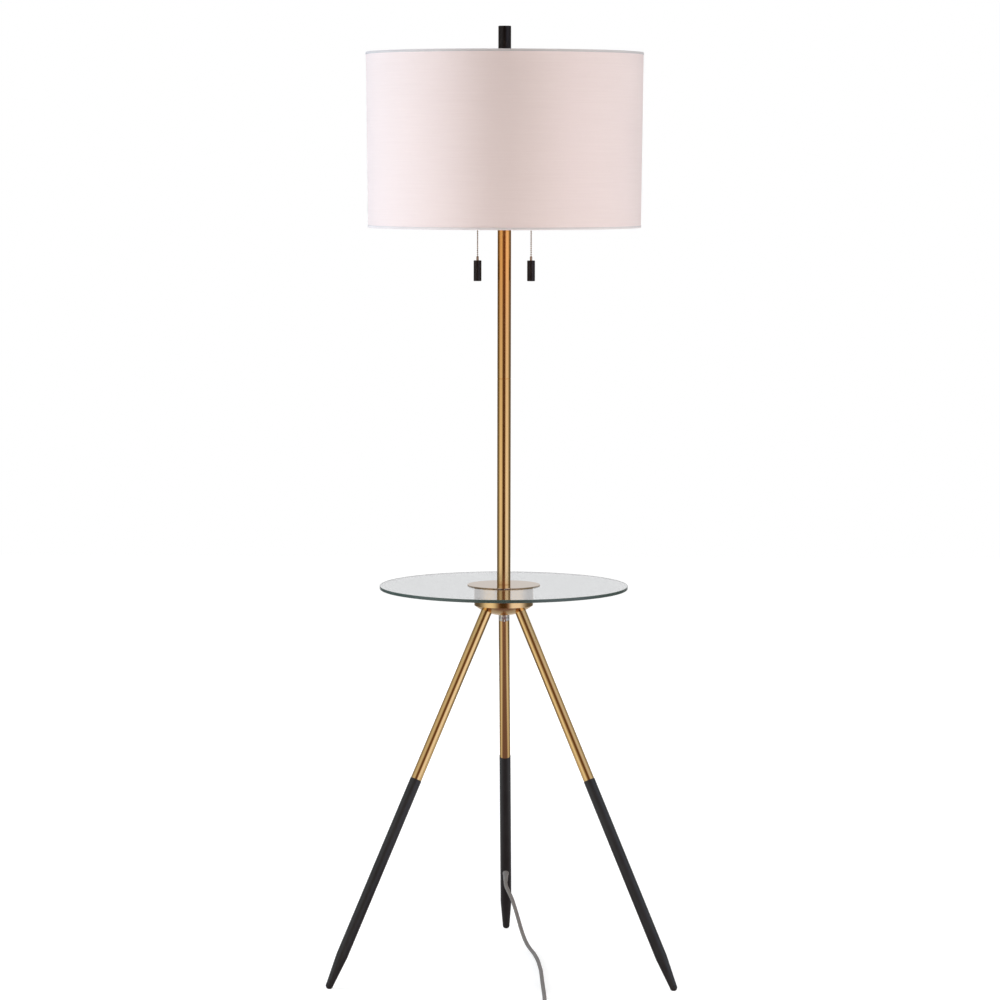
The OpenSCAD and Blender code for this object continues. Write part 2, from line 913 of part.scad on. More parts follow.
// Slider of a pull switch with the beads that hang from it inside the socket and its guide
module switch_clip(side) {
  top = guide_low - clip_top - clip_h;
  color("#b08040")
    translate([side * chain_x, 0, pivot_z]) {
      translate([-clip_w / 2, -clip_w / 2, top])
        cube([clip_w, clip_w, clip_h]);
      rotate_extrude()
        intersection() {
          union() {
            for (i = [0 : inner_beads])
              translate([0, i * bead_pitch])
                circle(d = bead_d, $fn = 24);
            square([link_d / 2, top + 1]);
          }
          translate([0, -bead_d])
            square([bead_d, top + bead_d + 1]);
        }
    }
}

module switch_clip_left() {
  switch_clip(-1);
}

module switch_clip_right() {
  switch_clip(1);
}

// Ball chain from the guide down, ending in the cup that holds the pull
module pull_chain(side) {
  color("#8a6a3a")
    translate([side * chain_x, 0, pivot_z])
      union() {
        rotate_extrude()
          bead_line(chain_beads);
        translate([0, 0, -bead_pitch])
          cylinder(h = bead_pitch - bead_d / 2 - 0.12, d = link_d);
        translate([0, 0, pull_top - pivot_z])
          rotate_extrude()
            polygon([
              [0, 0], [bead_d / 2 + 0.7, 0], [bead_d / 2 + 0.7, cup_len - 2.5],
              [bead_d / 2, cup_len - 1.2], [bead_d / 2, cup_len - 2], [0, cup_len - 2]
            ]);
      }
}

module pull_chain_left() {
  pull_chain(-1);
}

module pull_chain_right() {
  pull_chain(1);
}

// Round pull at the end of a chain
module chain_pull(side) {
  r = pull_d / 2;
  color("#1b1817")
    translate([side * chain_x, 0, pull_top - pull_len])
      rotate_extrude()
        polygon([
          [0, 0], [r - 0.5, 0], [r, 0.5], [r, pull_len - 0.5], [r - 0.5, pull_len], [0, pull_len]
        ]);
}

module chain_pull_left() {
  chain_pull(-1);
}

module chain_pull_right() {
  chain_pull(1);
}

// ---- shade ----

// Rod from the cluster body through the shade's washer into the finial
module riser_rod() {
  color("#c79a5b")
    translate([0, 0, socket_z + socket_rise / 2])
      cylinder(h = finial_z + finial_hole - 2 - socket_z - socket_rise / 2, d = stud_d);
}

// Collar on the riser that the shade rests on
module riser_seat() {
  r = seat_d / 2;
  color("#c79a5b")
    rotate_extrude()
      polygon([
        [stud_hole / 2, seat_z - seat_h], [r - 4, seat_z - seat_h], [r, seat_z - seat_h / 2],
        [r, seat_z], [stud_hole / 2, seat_z]
      ]);
}

// Wall of the shade: stiffened fabric, a little wider at the top
module shade_drum() {
  a = shade_bottom_d / 2;
  b = shade_top_d / 2;
  color("#f2e4e0")
    rotate_extrude($fn = 180)
      polygon([
        [a - shade_t, shade_bottom], [a, shade_bottom], [b, shade_top], [b - shade_t, shade_top]
      ]);
}

// Rolled edge over one end of the shade, for the end's radius r, and its height along +Z
module trim(r) {
  g = 2 * fit;
  rotate_extrude($fn = 180)
    polygon([
      [r - shade_t - 2, 0], [r + g + trim_t, 0], [r + g + trim_t, -trim_h], [r + g, -trim_h],
      [r + g, -trim_t], [r - shade_t - 2, -trim_t]
    ]);
}

module shade_trim_top() {
  color("#cfc8c6")
    translate([0, 0, shade_top + trim_t])
      trim(shade_top_d / 2);
}

module shade_trim_bottom() {
  color("#d6c8ca")
    translate([0, 0, shade_bottom - trim_t])
      mirror([0, 0, 1])
        trim(shade_bottom_d / 2 + 0.04);
}

// Wire ring round the inside of the shade, touching its edge at the radius r
module wire_ring(r, z) {
  translate([0, 0, z])
    rotate_extrude($fn = 180)
      translate([r - shade_t - wire_gap - wire_d / 2, 0])
        circle(d = wire_d, $fn = 24);
}

// Upper ring of the shade with three arms and the washer that sits on the riser
module shade_spider() {
  ring_r = shade_top_d / 2 - shade_t - wire_gap - wire_d / 2;
  from = washer_d / 2 - 2.5;
  low = seat_z + washer_t / 2;
  high = shade_top - wire_d / 2;
  span = ring_r - from;
  rise = high - low;
  color("#b9b9b9")
    difference() {
      union() {
        wire_ring(shade_top_d / 2, high);
        for (a = leg_angles)
          rotate([0, 0, a])
            translate([from, 0, low])
              rotate([0, 90 - atan(rise / span), 0])
                cylinder(h = sqrt(span * span + rise * rise), d = arm_d);
        translate([0, 0, seat_z])
          cylinder(h = washer_t, d = washer_d);
      }
      translate([0, 0, seat_z - 5])
        cylinder(h = 20, d = stud_hole);
      translate([0, 0, seat_z - 10])
        cylinder(h = 10, d = washer_d);
      translate([0, 0, finial_z])
        cylinder(h = 10, d = finial_d + 2);
    }
}

module shade_bottom_ring() {
  color("#b9b9b9")
    wire_ring(shade_bottom_d / 2, shade_bottom + wire_d / 2);
}

// Plain round knob that screws down on the shade's washer
module finial() {
  r = finial_d / 2;
  q = stud_hole / 2;
  color("#201a18")
    translate([0, 0, finial_z])
      rotate_extrude()
        polygon([
          [q, 0], [r - 0.4, 0], [r, 0.4], [r, finial_h - 0.6], [r - 0.6, finial_h],
          [0, finial_h], [0, finial_hole], [q, finial_hole]
        ]);
}

// ---- wiring and cord ----

// Point on the wired leg, s down its axis from the bowl and x across it away from the pole
function leg_pt(s, x) = [
  0,
  leg_ring_r + s * sin(leg_tilt) + x * cos(leg_tilt),
  leg_z - s * cos(leg_tilt) + x * sin(leg_tilt)
];

// Corner i of the line p, rounded in k steps over the length t on each side of it
function corner(p, i, t, k) =
  let (
    a = p[i - 1] - p[i],
    b = p[i + 1] - p[i],
    m = min(t, norm(a) * 0.45, norm(b) * 0.45),
    u = p[i] + a * m / norm(a),
    v = p[i] + b * m / norm(b)
  )
  [for (j = [0 : k]) let (w = j / k) u * (1 - w) * (1 - w) + p[i] * 2 * w * (1 - w) + v * w * w];

// The line p with its corners rounded
function smooth(p, t, k) = concat(
  [p[0]],
  [for (i = [1 : len(p) - 2]) for (q = corner(p, i, t, k)) q],
  [p[len(p) - 1]]
);

// Direction of the line p at its point i
function along(p, i) =
  let (d = p[min(i + 1, len(p) - 1)] - p[max(i - 1, 0)])
  d / norm(d);

// Round tube of diameter d and this many sides swept along the line p
// The side vector stays square to the vector up, so the tube doesn't twist
module tube(p, d, sides, up) {
  n = len(p);
  points = [
    for (i = [0 : n - 1])
      let (
        t = along(p, i),
        c = cross(up, t),
        x = c / norm(c),
        y = cross(t, x)
      )
      for (j = [0 : sides - 1])
        p[i] + d / 2 * (cos(360 * j / sides) * x + sin(360 * j / sides) * y)
  ];
  faces = concat(
    [[for (j = [sides - 1 : -1 : 0]) j]],
    [
      for (i = [0 : n - 2])
        for (j = [0 : sides - 1])
          [i * sides + j, i * sides + (j + 1) % sides, (i + 1) * sides + (j + 1) % sides]
    ],
    [
      for (i = [0 : n - 2])
        for (j = [0 : sides - 1])
          [i * sides + j, (i + 1) * sides + (j + 1) % sides, (i + 1) * sides + j]
    ],
    [[for (j = [0 : sides - 1]) (n - 1) * sides + j]]
  );
  polyhedron(points = points, faces = [for (f = faces) [for (k = [len(f) - 1 : -1 : 0]) f[k]]]);
}

// Wiring from the outlet up the wired leg, across the hub and up the pole to the cluster
module inner_wiring() {
  turn_z = leg_z + hub_boss_h * cos(leg_tilt) + 4.5;
  turn_s = -(turn_z - leg_z) / cos(leg_tilt);
  color("#6e6e6e")
    tube(
      smooth([
        leg_pt(outlet_s, -leg_lower_d / 2 - outlet_h), leg_pt(outlet_s, 0), leg_pt(turn_s, 0),
        [0, 0, turn_z], [0, 0, socket_z - 2]
      ], 5, 5),
      wiring_d, 8, [1, 0, 0]
    );
}

// Free cord from the strain relief to the coil
module cord_run() {
  color("#7d7873")
    tube(smooth(run_points, 22, 3), cord_d, 10, [0, 0, 1]);
}

// Point of the coil after q turns: in along the lower layer, up and round, out along the upper
function coil_r(q) =
  q < coil_turns ? coil_out - q * coil_step
  : q < coil_turns + 0.5
    ? coil_in - coil_step * ((q - coil_turns) - 2 * (q - coil_turns) * (q - coil_turns))
    : coil_in + (q - coil_turns - 0.5) * coil_step;

function coil_climb(q) =
  let (w = min(max((q - coil_turns) * 2, 0), 1))
  coil_rise * w * w * (3 - 2 * w);

function coil_pt(q) = [
  coil_mid[0] + coil_r(q) * cos(-360 * q),
  coil_mid[1] + coil_r(q) * sin(-360 * q),
  cord_z + coil_climb(q)
];

coil_n = round(coil_sum * coil_rings);
coil_turn_points = [for (i = [0 : coil_n]) coil_pt(i / coil_rings)];
coil_end = coil_turn_points[coil_n];
coil_points = concat(
  [coil_start3(cord_d)],
  coil_turn_points,
  [coil_end - [cord_d, 0, 0], coil_end - [coil_tail, 0, 0]]
);

function coil_start3(up) = [coil_start[0], coil_start[1] + up, cord_z];

// Least distance between the coil's surface and itself, measured a third of a turn apart or more
coil_clear = min([
  for (i = [0 : 2 : len(coil_points) - 9])
    min([for (j = [i + 8 : len(coil_points) - 1]) norm(coil_points[i] - coil_points[j])])
]) - cord_d;
echo(coil_clear = coil_clear);

// Spare cord as it is packed: loops that spiral in, climb a layer and spiral out again
module cord_coil() {
  color("#7d7873")
    tube(coil_points, cord_d, 6, [0, 0, 1]);
}

// Moulded two-blade plug at the end of the cord, with its tapered strain relief
module power_plug() {
  x0 = coil_end[0] - coil_tail;
  x1 = x0 - plug_relief;
  x2 = x1 - plug_len;
  y0 = coil_end[1];
  h = plug_z;
  color("#4a4a4a")
    union() {
      translate([x1 - 1, y0, h])
        rotate([0, 90, 0])
          cylinder(h = plug_relief + 1, d1 = cord_d + 5, d2 = cord_d + 1.4);
      hull() {
        translate([x1 - 2, y0 - plug_w * 0.3, h - 6.5])
          cube([2, plug_w * 0.6, 13]);
        translate([x1 - 10, y0 - plug_w / 2, 0])
          cube([2, plug_w, 2 * h]);
        translate([x2, y0 - plug_w / 2, 0])
          cube([plug_len - 10, plug_w, 2 * h]);
      }
    }
  color("silver")
    for (s = [-1, 1])
      translate([x2 - blade_len, y0 + s * blade_gap / 2 - blade_t / 2, h - blade_w / 2])
        cube([blade_len, blade_t, blade_w]);
}

hub_shell();
hub_plate();
hub_screws();
hub_nipple();
hub_nut();
glass_gasket();
glass_top();
flange_pad();
table_flange();
leg_upper_left();
leg_upper_right();
leg_upper_back();
leg_lower_left();
leg_lower_right();
leg_lower_back();
leg_top_studs();
leg_top_bushes();
leg_joint_studs();
leg_joint_bushes();
foot_glides();
wired_leg_nut();
cord_bushing();
lower_pole();
upper_pole();
pole_joint_stud();
pole_bushes();
cluster_nipple();
cluster_body();
socket_nipples();
socket_cap_left();
socket_cap_right();
socket_shell_left();
socket_shell_right();
socket_core_left();
socket_core_right();
screw_shells();
socket_contacts();
chain_guides();
bulb_base_left();
bulb_base_right();
bulb_glass_left();
bulb_glass_right();
switch_clip_left();
switch_clip_right();
pull_chain_left();
pull_chain_right();
chain_pull_left();
chain_pull_right();
riser_rod();
riser_seat();
shade_drum();
shade_spider();
shade_bottom_ring();
shade_trim_top();
shade_trim_bottom();
finial();
inner_wiring();
cord_run();
cord_coil();
power_plug();
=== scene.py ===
import math

import bmesh
import bpy
import numpy as np
from mathutils import Matrix, Vector


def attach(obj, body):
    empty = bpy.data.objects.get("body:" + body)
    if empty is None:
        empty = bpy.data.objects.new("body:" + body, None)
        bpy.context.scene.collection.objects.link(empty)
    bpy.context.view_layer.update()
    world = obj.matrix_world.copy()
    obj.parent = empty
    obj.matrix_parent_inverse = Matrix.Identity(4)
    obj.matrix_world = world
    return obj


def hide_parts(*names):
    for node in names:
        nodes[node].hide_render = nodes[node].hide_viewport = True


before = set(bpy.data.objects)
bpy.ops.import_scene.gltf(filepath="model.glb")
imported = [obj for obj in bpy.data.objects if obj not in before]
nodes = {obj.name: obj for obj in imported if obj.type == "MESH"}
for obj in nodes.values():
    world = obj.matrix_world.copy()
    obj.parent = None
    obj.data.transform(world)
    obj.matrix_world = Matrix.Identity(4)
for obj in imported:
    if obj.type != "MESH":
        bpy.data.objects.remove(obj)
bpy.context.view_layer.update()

scene = bpy.context.scene
scene.view_settings.view_transform = "Standard"


def add(name, data):
    """Puts a new object into the scene."""
    ob = bpy.data.objects.new(name, data)
    scene.collection.objects.link(ob)
    return ob


# ---- camera, fitted to the photograph ----

YAW, PITCH, ROLL = -0.01757270, 0.09269132, 0.00171447  # radians
EYE = (0.0957435, -5.7924373, 1.2803534)  # metres
FOCAL, PICTURE = 3729.8247, 1000  # pixels
SENSOR = 36  # millimetres


def make_camera():
    level = math.cos(PITCH)
    forward = Vector((math.sin(YAW) * level, math.cos(YAW) * level, -math.sin(PITCH)))
    right = Vector((math.cos(YAW), -math.sin(YAW), 0.0))
    down = forward.cross(right)
    c, s = math.cos(ROLL), math.sin(ROLL)
    m = Matrix((c * right - s * down, -(s * right + c * down), -forward)).transposed().to_4x4()
    m.translation = EYE
    data = bpy.data.cameras.new("camera")
    data.sensor_width = SENSOR
    data.sensor_fit = "HORIZONTAL"
    data.lens = FOCAL * SENSOR / PICTURE
    data.clip_end = 100
    cam = add("camera", data)
    cam.matrix_world = m
    scene.camera = cam


make_camera()


# ---- the cord's route, in millimetres as in the CAD source ----

# a leg's tilt, where its axis starts, how far it goes, and the thickness of its lower part
TILT = math.radians(26)
LEG_RING, LEG_Z, LEG_END, LEG_D = 31, 567.7936, 624.2208, 18
# the outlet: up from the leg's end, how far it stands out, and the cord's straight start
OUTLET_UP, OUTLET_H, STRAIGHT = 112, 20, 6.5
CORD_D, CORD_Z = 6.2, 3.3


def leg_point(s, x):
    """A point s along the back leg's axis from its top, and x to the outer side of it."""
    return (
        0.0,
        LEG_RING + s * math.sin(TILT) + x * math.cos(TILT),
        LEG_Z - s * math.cos(TILT) + x * math.sin(TILT),
    )


OUTLET_S = LEG_END - OUTLET_UP
EXIT = leg_point(OUTLET_S, -LEG_D / 2 - OUTLET_H)
RUN = [
    EXIT, leg_point(OUTLET_S, -LEG_D / 2 - OUTLET_H - STRAIGHT),
    (1.3, 217.2, 87.7), (3.9, 211.6, 82.9), (6.9, 206.6, 77.9), (10.2, 202, 72.4),
    (13.6, 196.6, 64), (17.2, 190.3, 54), (21, 182.8, 43), (24.6, 174.5, 32), (28.4, 164.4, 21.8),
    (32.6, 152, 13.4), (37.4, 136.5, 7.5), (42.8, 117, 4.2), (48, 94, CORD_Z), (54.5, 45, CORD_Z),
    (60, -30, CORD_Z), (63, -120, CORD_Z), (66.95, -220, CORD_Z), (66.95, -331.8, CORD_Z),
]
# the spare cord's coil: middle, radii, turns of each layer, and the plug's cord end
COIL_X, COIL_Y = 22, -338
COIL_OUTER, COIL_INNER = 44.95, 28.8
COIL_PITCH, COIL_RISE, COIL_TURNS = 6.8, 6.7, 2.375
PLUG_X, PLUG_Y, PLUG_Z = -8.0, -382.95, 10.0


def rounded(points, reach, steps, most=0.45):
    """The route with its corners rounded by short curves, each up to a share of its stretches."""
    p = [np.array(q, float) for q in points]
    out = [p[0]]
    for a, b, c in zip(p, p[1:], p[2:]):
        m = min(reach, most * np.linalg.norm(b - a), most * np.linalg.norm(c - b))
        u = b + (a - b) / np.linalg.norm(a - b) * m
        v = b + (c - b) / np.linalg.norm(c - b) * m
        for i in range(steps + 1):
            t = i / steps
            out.append((1 - t) ** 2 * u + 2 * t * (1 - t) * b + t * t * v)
    out.append(p[-1])
    return out


def coil_points(per_turn):
    """Flat spiral inwards, half a turn that climbs, then a second layer outwards on top."""
    out = []
    total = 2 * COIL_TURNS + 0.5
    n = int(round(total * per_turn))
    for i in range(n + 1):
        q = total * i / n
        past = q - COIL_TURNS
        if past < 0:
            r = COIL_OUTER - COIL_PITCH * q
        elif past < 0.5:
            r = COIL_INNER - COIL_PITCH * (past - 2 * past * past)
        else:
            r = COIL_INNER + COIL_PITCH * (past - 0.5)
        w = min(max(2 * past, 0.0), 1.0)
        a = -2 * math.pi * q
        z = CORD_Z + COIL_RISE * w * w * (3 - 2 * w)
        out.append(np.array((COIL_X + r * math.cos(a), COIL_Y + r * math.sin(a), z)))
    return out


def cord_points(least=0.25):
    """The whole route into the plug, without points that nearly meet."""
    pts = rounded(RUN, reach=22, steps=5) + coil_points(per_turn=48)
    pts.append(np.array((PLUG_X, PLUG_Y, PLUG_Z)))
    keep = [pts[0]]
    for q in pts[1:]:
        if np.linalg.norm(q - keep[-1]) > least:
            keep.append(q)
    return keep


# ---- mesh helpers, in metres ----

SIDES = 288


def metres(*mm):
    return tuple(c / 1000 for c in mm)


def round_loop(n):
    """Each place of a closed loop with the next one."""
    return [(i, (i + 1) % n) for i in range(n)]


def new_object(name, verts, faces, uvs=None):
    me = bpy.data.meshes.new(name)
    me.from_pydata([tuple(v) for v in verts], [], faces)
    me.update()
    if uvs is not None:
        layer = me.uv_layers.new(name="surface")
        layer.data.foreach_set("uv", [c for face in uvs for uv in face for c in uv])
    me.polygons.foreach_set("use_smooth", [True] * len(me.polygons))
    return add(name, me)


def sharpen(ob, degrees=60):
    """Turns the normals outwards and marks the edges that bend by more than the angle."""
    me = ob.data
    bm = bmesh.new()
    bm.from_mesh(me)
    bmesh.ops.recalc_face_normals(bm, faces=bm.faces)
    for e in bm.edges:
        if len(e.link_faces) == 2 and e.calc_face_angle(0) > math.radians(degrees):
            e.smooth = False
    bm.to_mesh(me)
    bm.free()
    return ob


def lathe(name, profile, sides=SIDES, start=0.0, sweep=2 * math.pi):
    """Turns a closed profile of (radius, height) about Z, with a surface coordinate in metres."""
    full = abs(sweep - 2 * math.pi) < 1e-6
    cols = sides if full else sides + 1
    verts, faces, uvs = [], [], []
    for i in range(cols):
        a = start + sweep * i / sides
        for r, z in profile:
            verts.append((r * math.cos(a), r * math.sin(a), z))
    n = len(profile)
    run = [0.0]
    for (r0, z0), (r1, z1) in zip(profile, profile[1:] + profile[:1]):
        run.append(run[-1] + math.hypot(r1 - r0, z1 - z0))
    widest = max(r for r, z in profile)
    for i in range(sides):
        j = (i + 1) % cols
        u0, u1 = widest * sweep * i / sides, widest * sweep * (i + 1) / sides
        for k, m in round_loop(n):
            faces.append((i * n + k, j * n + k, j * n + m, i * n + m))
            uvs.append(((u0, run[k]), (u1, run[k]), (u1, run[k + 1]), (u0, run[k + 1])))
    if not full:
        faces.append(tuple(range(n)))
        faces.append(tuple((cols - 1) * n + k for k in reversed(range(n))))
        uvs += [[(0, 0)] * n] * 2
    return new_object(name, verts, faces, uvs)


def loft(name, rings):
    """Joins rings of equal count, in order, and closes the two ends."""
    verts = [v for ring in rings for v in ring]
    n = len(rings[0])
    faces = []
    for k in range(len(rings) - 1):
        for i, j in round_loop(n):
            faces.append((k * n + i, k * n + j, (k + 1) * n + j, (k + 1) * n + i))
    faces.append(tuple(reversed(range(n))))
    faces.append(tuple((len(rings) - 1) * n + i for i in range(n)))
    return new_object(name, verts, faces)


# ---- materials ----

USUAL = (0.3, 0.7)  # where most of a noise's values lie
WAVE_RATE = 20  # radians to the metre in the wave texture at scale 1


class Tree:
    """A shader's node tree, with short ways to add to it."""

    def __init__(self, tree):
        self.nodes, self.links = tree.nodes, tree.links

    def put(self, value, socket):
        """Links an output to an input, or sets the input to a plain value."""
        if isinstance(value, bpy.types.NodeSocket):
            self.links.new(value, socket)
        else:
            socket.default_value = value

    def node(self, kind, *values, **named):
        """Adds a node. A name with a small letter is a setting, one with a capital is an input."""
        n = self.nodes.new("ShaderNode" + kind)
        inputs = list(enumerate(values))
        for name, value in named.items():
            if name[0].islower():
                setattr(n, name, value)
            else:
                inputs.append((name.replace("_", " "), value))
        for name, value in inputs:
            self.put(value, n.inputs[name])
        return n

    def calc(self, operation, *values):
        return self.node("Math", *values, operation=operation).outputs[0]

    def weighted(self, *pairs):
        """The sum of values, each times its weight."""
        total = None
        for value, weight in reversed(pairs):
            term = self.calc("MULTIPLY", value, weight)
            total = term if total is None else self.calc("ADD", term, total)
        return total

    def remap(self, value, start, end, low=0.0, high=1.0, kind="LINEAR"):
        """Takes the values from start to end to those from low to high."""
        n = self.node("MapRange", interpolation_type=kind, Value=value,
                      From_Min=start, From_Max=end, To_Min=low, To_Max=high)
        return n.outputs["Result"]

    def ramp(self, fac, stops):
        """A colour from (place, colour) stops in rising order."""
        n = self.node("ValToRGB", fac)
        elements = n.color_ramp.elements
        while len(elements) > 1:
            elements.remove(elements[-1])
        elements[0].position, elements[0].color = stops[0][0], (*stops[0][1], 1)
        for place, colour in stops[1:]:
            elements.new(place).color = (*colour, 1)
        return n.outputs["Color"]

    def mix(self, factor, a, b, blend="MIX"):
        n = self.node("Mix", data_type="RGBA", blend_type=blend, Factor=factor, A=a, B=b)
        return n.outputs["Result"]

    def mix_shader(self, factor, a, b):
        return self.node("MixShader", factor, a, b).outputs[0]


class Mat(Tree):
    """A procedural material on a Principled shader, by place in metres."""

    def __init__(self, name, **values):
        self.material = bpy.data.materials.new(name)
        self.material.use_nodes = True
        super().__init__(self.material.node_tree)
        self.shader = self.nodes["Principled BSDF"]
        self.output = self.nodes["Material Output"]
        for key, value in values.items():
            self.to(value, key.replace("_", " "))

    def to(self, value, key):
        self.put(value, self.shader.inputs[key])

    def coords(self, scale=(1, 1, 1), rotation=(0, 0, 0), which="Object"):
        """The place, turned first and scaled after that."""
        v = self.node("TexCoord").outputs[which]
        if any(rotation):
            v = self.node("Mapping", Vector=v, Rotation=rotation).outputs["Vector"]
        return self.node("Mapping", Vector=v, Scale=scale).outputs["Vector"]

    def noise(self, grains, detail, rough, rotation=(0, 0, 0), which="Object"):
        """Noise with so many grains to the metre: one number, or one for each axis."""
        each = isinstance(grains, tuple)
        v = self.coords(grains if each else (1, 1, 1), rotation, which)
        n = self.node("TexNoise", Vector=v, Scale=1.0 if each else grains,
                      Detail=detail, Roughness=rough)
        return n.outputs["Fac"]

    def wave(self, vector, period, direction, distortion=0.0, detail=0.0):
        """Bands that repeat after the period."""
        scale = 2 * math.pi / period / WAVE_RATE
        n = self.node("TexWave", bands_direction=direction, Vector=vector, Scale=scale,
                      Distortion=distortion, Detail=detail)
        return n.outputs["Fac"]

    def tone(self, fac, low, high, span=USUAL):
        """The base colour, from one to another."""
        colour = self.ramp(fac, [(span[0], low), (span[1], high)])
        self.to(colour, "Base Color")
        return colour

    def gloss(self, fac, low, high):
        self.to(self.remap(fac, *USUAL, low, high), "Roughness")

    def bump(self, height, distance, strength):
        n = self.node("Bump", Height=height, Distance=distance, Strength=strength)
        self.to(n.outputs["Normal"], "Normal")
        return n.outputs["Normal"]


LAMP_H = 1.5  # metres, for colours that change with height
# painted light on the pole, by height in metres: warm orange light from the shade near its top, and
# painted shade about 0.9 m up
POLE_PAINTED_LIGHT = [
    (0.62, (0.83, 0.57, 0.25)), (0.78, (0.87, 0.56, 0.22)), (0.92, (0.80, 0.485, 0.175)),
    (1.02, (0.82, 0.44, 0.15)), (1.11, (0.92, 0.43, 0.12)),
]
LEG_TINTS = [(0.30, (0.86, 0.58, 0.24)), (0.56, (0.88, 0.60, 0.25))]
GLASS_MIDDLE = 0.6055  # metres up, the middle of the glass
# periods of the waves, in metres
WEFT_PITCH, WARP_PITCH = 0.00062, 0.00055
ROD_PITCH, BASE_PITCH = 0.0013, 0.0036
DISC_RINGS, NUT_GROOVES = 0.0052359878, 0.0081681409


def leg_rotation(angle):
    """Rotation that brings a leg's axis to Z, for the drawn lines of its finish."""
    a = math.radians(angle)
    axis = Vector((math.cos(a) * math.sin(TILT), math.sin(a) * math.sin(TILT), -math.cos(TILT)))
    q = (-axis).rotation_difference(Vector((0, 0, 1)))
    return tuple(q.to_euler("XYZ"))


def tube_finish(name, rotation, tints_and_painted_light):
    """Plated tube under lacquer: fine drawn lines along the tube, faint cloudy change of colour
    and gloss, and a colour that changes with height. On the pole this is painted light: warm orange
    light from the lit shade near its top and painted shade about 0.9 m up. On the legs it turns
    slightly lighter upwards."""
    m = Mat(name, Metallic=1.0, Specular_Tint=(1.0, 0.8, 0.55, 1.0))
    fine = m.noise((1900, 1900, 6), 2.0, 0.6, rotation)
    cloud = m.noise((9, 9, 4), 3.0, 0.55, rotation)
    height = m.node("SeparateXYZ", m.coords()).outputs["Z"]
    # colour by height: on the pole, painted warm light and painted shade
    tint = m.ramp(m.calc("DIVIDE", height, LAMP_H), [(z / LAMP_H, c) for z, c in tints_and_painted_light])
    both = m.weighted((fine, 0.35), (cloud, 0.65))
    dulled = m.ramp(both, [(USUAL[0], (0.94, 0.935, 0.92)), (USUAL[1], (1.0, 1.0, 1.0))])
    m.to(m.mix(1.0, tint, dulled, "MULTIPLY"), "Base Color")
    m.gloss(m.weighted((fine, 0.5), (cloud, 0.5)), 0.13, 0.18)
    m.bump(fine, 0.0000005, 0.5)
    return m.material


def brass_parts():
    """Turned brass-finish pieces: rings round the axis and a softer gloss."""
    m = Mat("brass_turned", Metallic=1.0)
    rings = m.noise((60, 60, 1500), 2.0, 0.6)
    both = m.weighted((rings, 0.4), (m.noise((14, 14, 14), 3.0, 0.55), 0.6))
    m.tone(both, (0.82, 0.54, 0.23), (0.88, 0.60, 0.27))
    m.gloss(both, 0.16, 0.22)
    m.bump(rings, 0.000001, 0.5)
    return m.material


def brass_disc():
    """The disc on the glass: spun flat and polished, with faint rings round its middle."""
    m = Mat("brass_disc", Metallic=1.0)
    out = m.node("VectorMath", m.coords((1, 1, 0)), operation="LENGTH").outputs["Value"]
    rings = m.wave(m.node("CombineXYZ", X=out).outputs[0], DISC_RINGS, "X", 1.5, 1.0)
    both = m.weighted((rings, 0.3), (m.noise((14, 14, 14), 3.0, 0.55), 0.7))
    m.tone(both, (0.67, 0.51, 0.34), (0.71, 0.555, 0.38))
    m.gloss(both, 0.07, 0.11)
    m.bump(rings, 0.0000008, 0.4)
    return m.material


def painted(name, low, high, rough, grain, height, specular=0.5):
    """Paint or moulded plastic: fine even grain, faint change of tone."""
    m = Mat(name, Specular_IOR_Level=specular)
    cloud = m.noise(22, 3.0, 0.5)
    m.tone(cloud, low, high)
    m.gloss(cloud, *rough)
    m.bump(m.noise(grain, 2.0, 0.5), height, 0.8)
    return m.material


def turned_black():
    """Dark plated knob and pulls: faint turning lines round the axis."""
    m = Mat("black_turned", Specular_IOR_Level=0.3)
    rings = m.noise((40, 40, 2600), 2.0, 0.6)
    m.tone(m.noise(60, 3.0, 0.5), (0.007, 0.0042, 0.0038), (0.012, 0.0075, 0.0065))
    m.gloss(rings, 0.3, 0.42)
    m.bump(rings, 0.000004, 0.7)
    return m.material


def metal(name, low, high, rough, grain, height=0.000002):
    """Bare or plated metal with a fine even grain."""
    m = Mat(name, Metallic=1.0)
    fine = m.noise((grain, grain, grain), 3.0, 0.6)
    m.tone(fine, low, high)
    m.gloss(fine, *rough)
    m.bump(fine, height, 0.5)
    return m.material


def threaded(name, low, high, rough, pitch, axis):
    """Thin metal with a rolled thread, as on a lamp base or a threaded rod."""
    m = Mat(name, Metallic=1.0)
    fine = m.noise((90, 90, 90), 3.0, 0.6)
    m.tone(fine, low, high)
    m.gloss(fine, *rough)
    m.bump(m.wave(m.coords(), pitch, axis), pitch * 0.22, 0.8)
    return m.material


def knurled():
    """Bright coupling nut: turned grooves round the leg's axis, with a knurl across them."""
    m = Mat("bright_nut", Metallic=1.0)
    turned = leg_rotation(90)
    grooves = m.wave(m.coords((1, 1, 1), turned), NUT_GROOVES, "Z")
    cross = m.noise((420, 420, 60), 1.0, 0.5, turned)
    cloud = m.noise((90, 90, 90), 2.0, 0.5)
    m.tone(cloud, (0.76, 0.75, 0.66), (0.90, 0.89, 0.78))
    m.gloss(cloud, 0.04, 0.08)
    m.bump(m.weighted((grooves, 0.6), (cross, 1.1)), 0.0016, 1.0)
    return m.material


def glass():
    """Table glass with a green tint in its depth."""
    m = Mat("table_glass", IOR=1.5, Transmission_Weight=1.0)
    cloud = m.noise(7, 2.0, 0.5)
    m.tone(cloud, (0.90, 0.915, 0.915), (0.92, 0.935, 0.935))
    m.gloss(cloud, 0.0, 0.008)
    depth = m.node("VolumeAbsorption", Color=(0.30, 0.50, 0.40, 1), Density=9.0)
    m.put(depth.outputs["Volume"], m.output.inputs["Volume"])
    return m.material


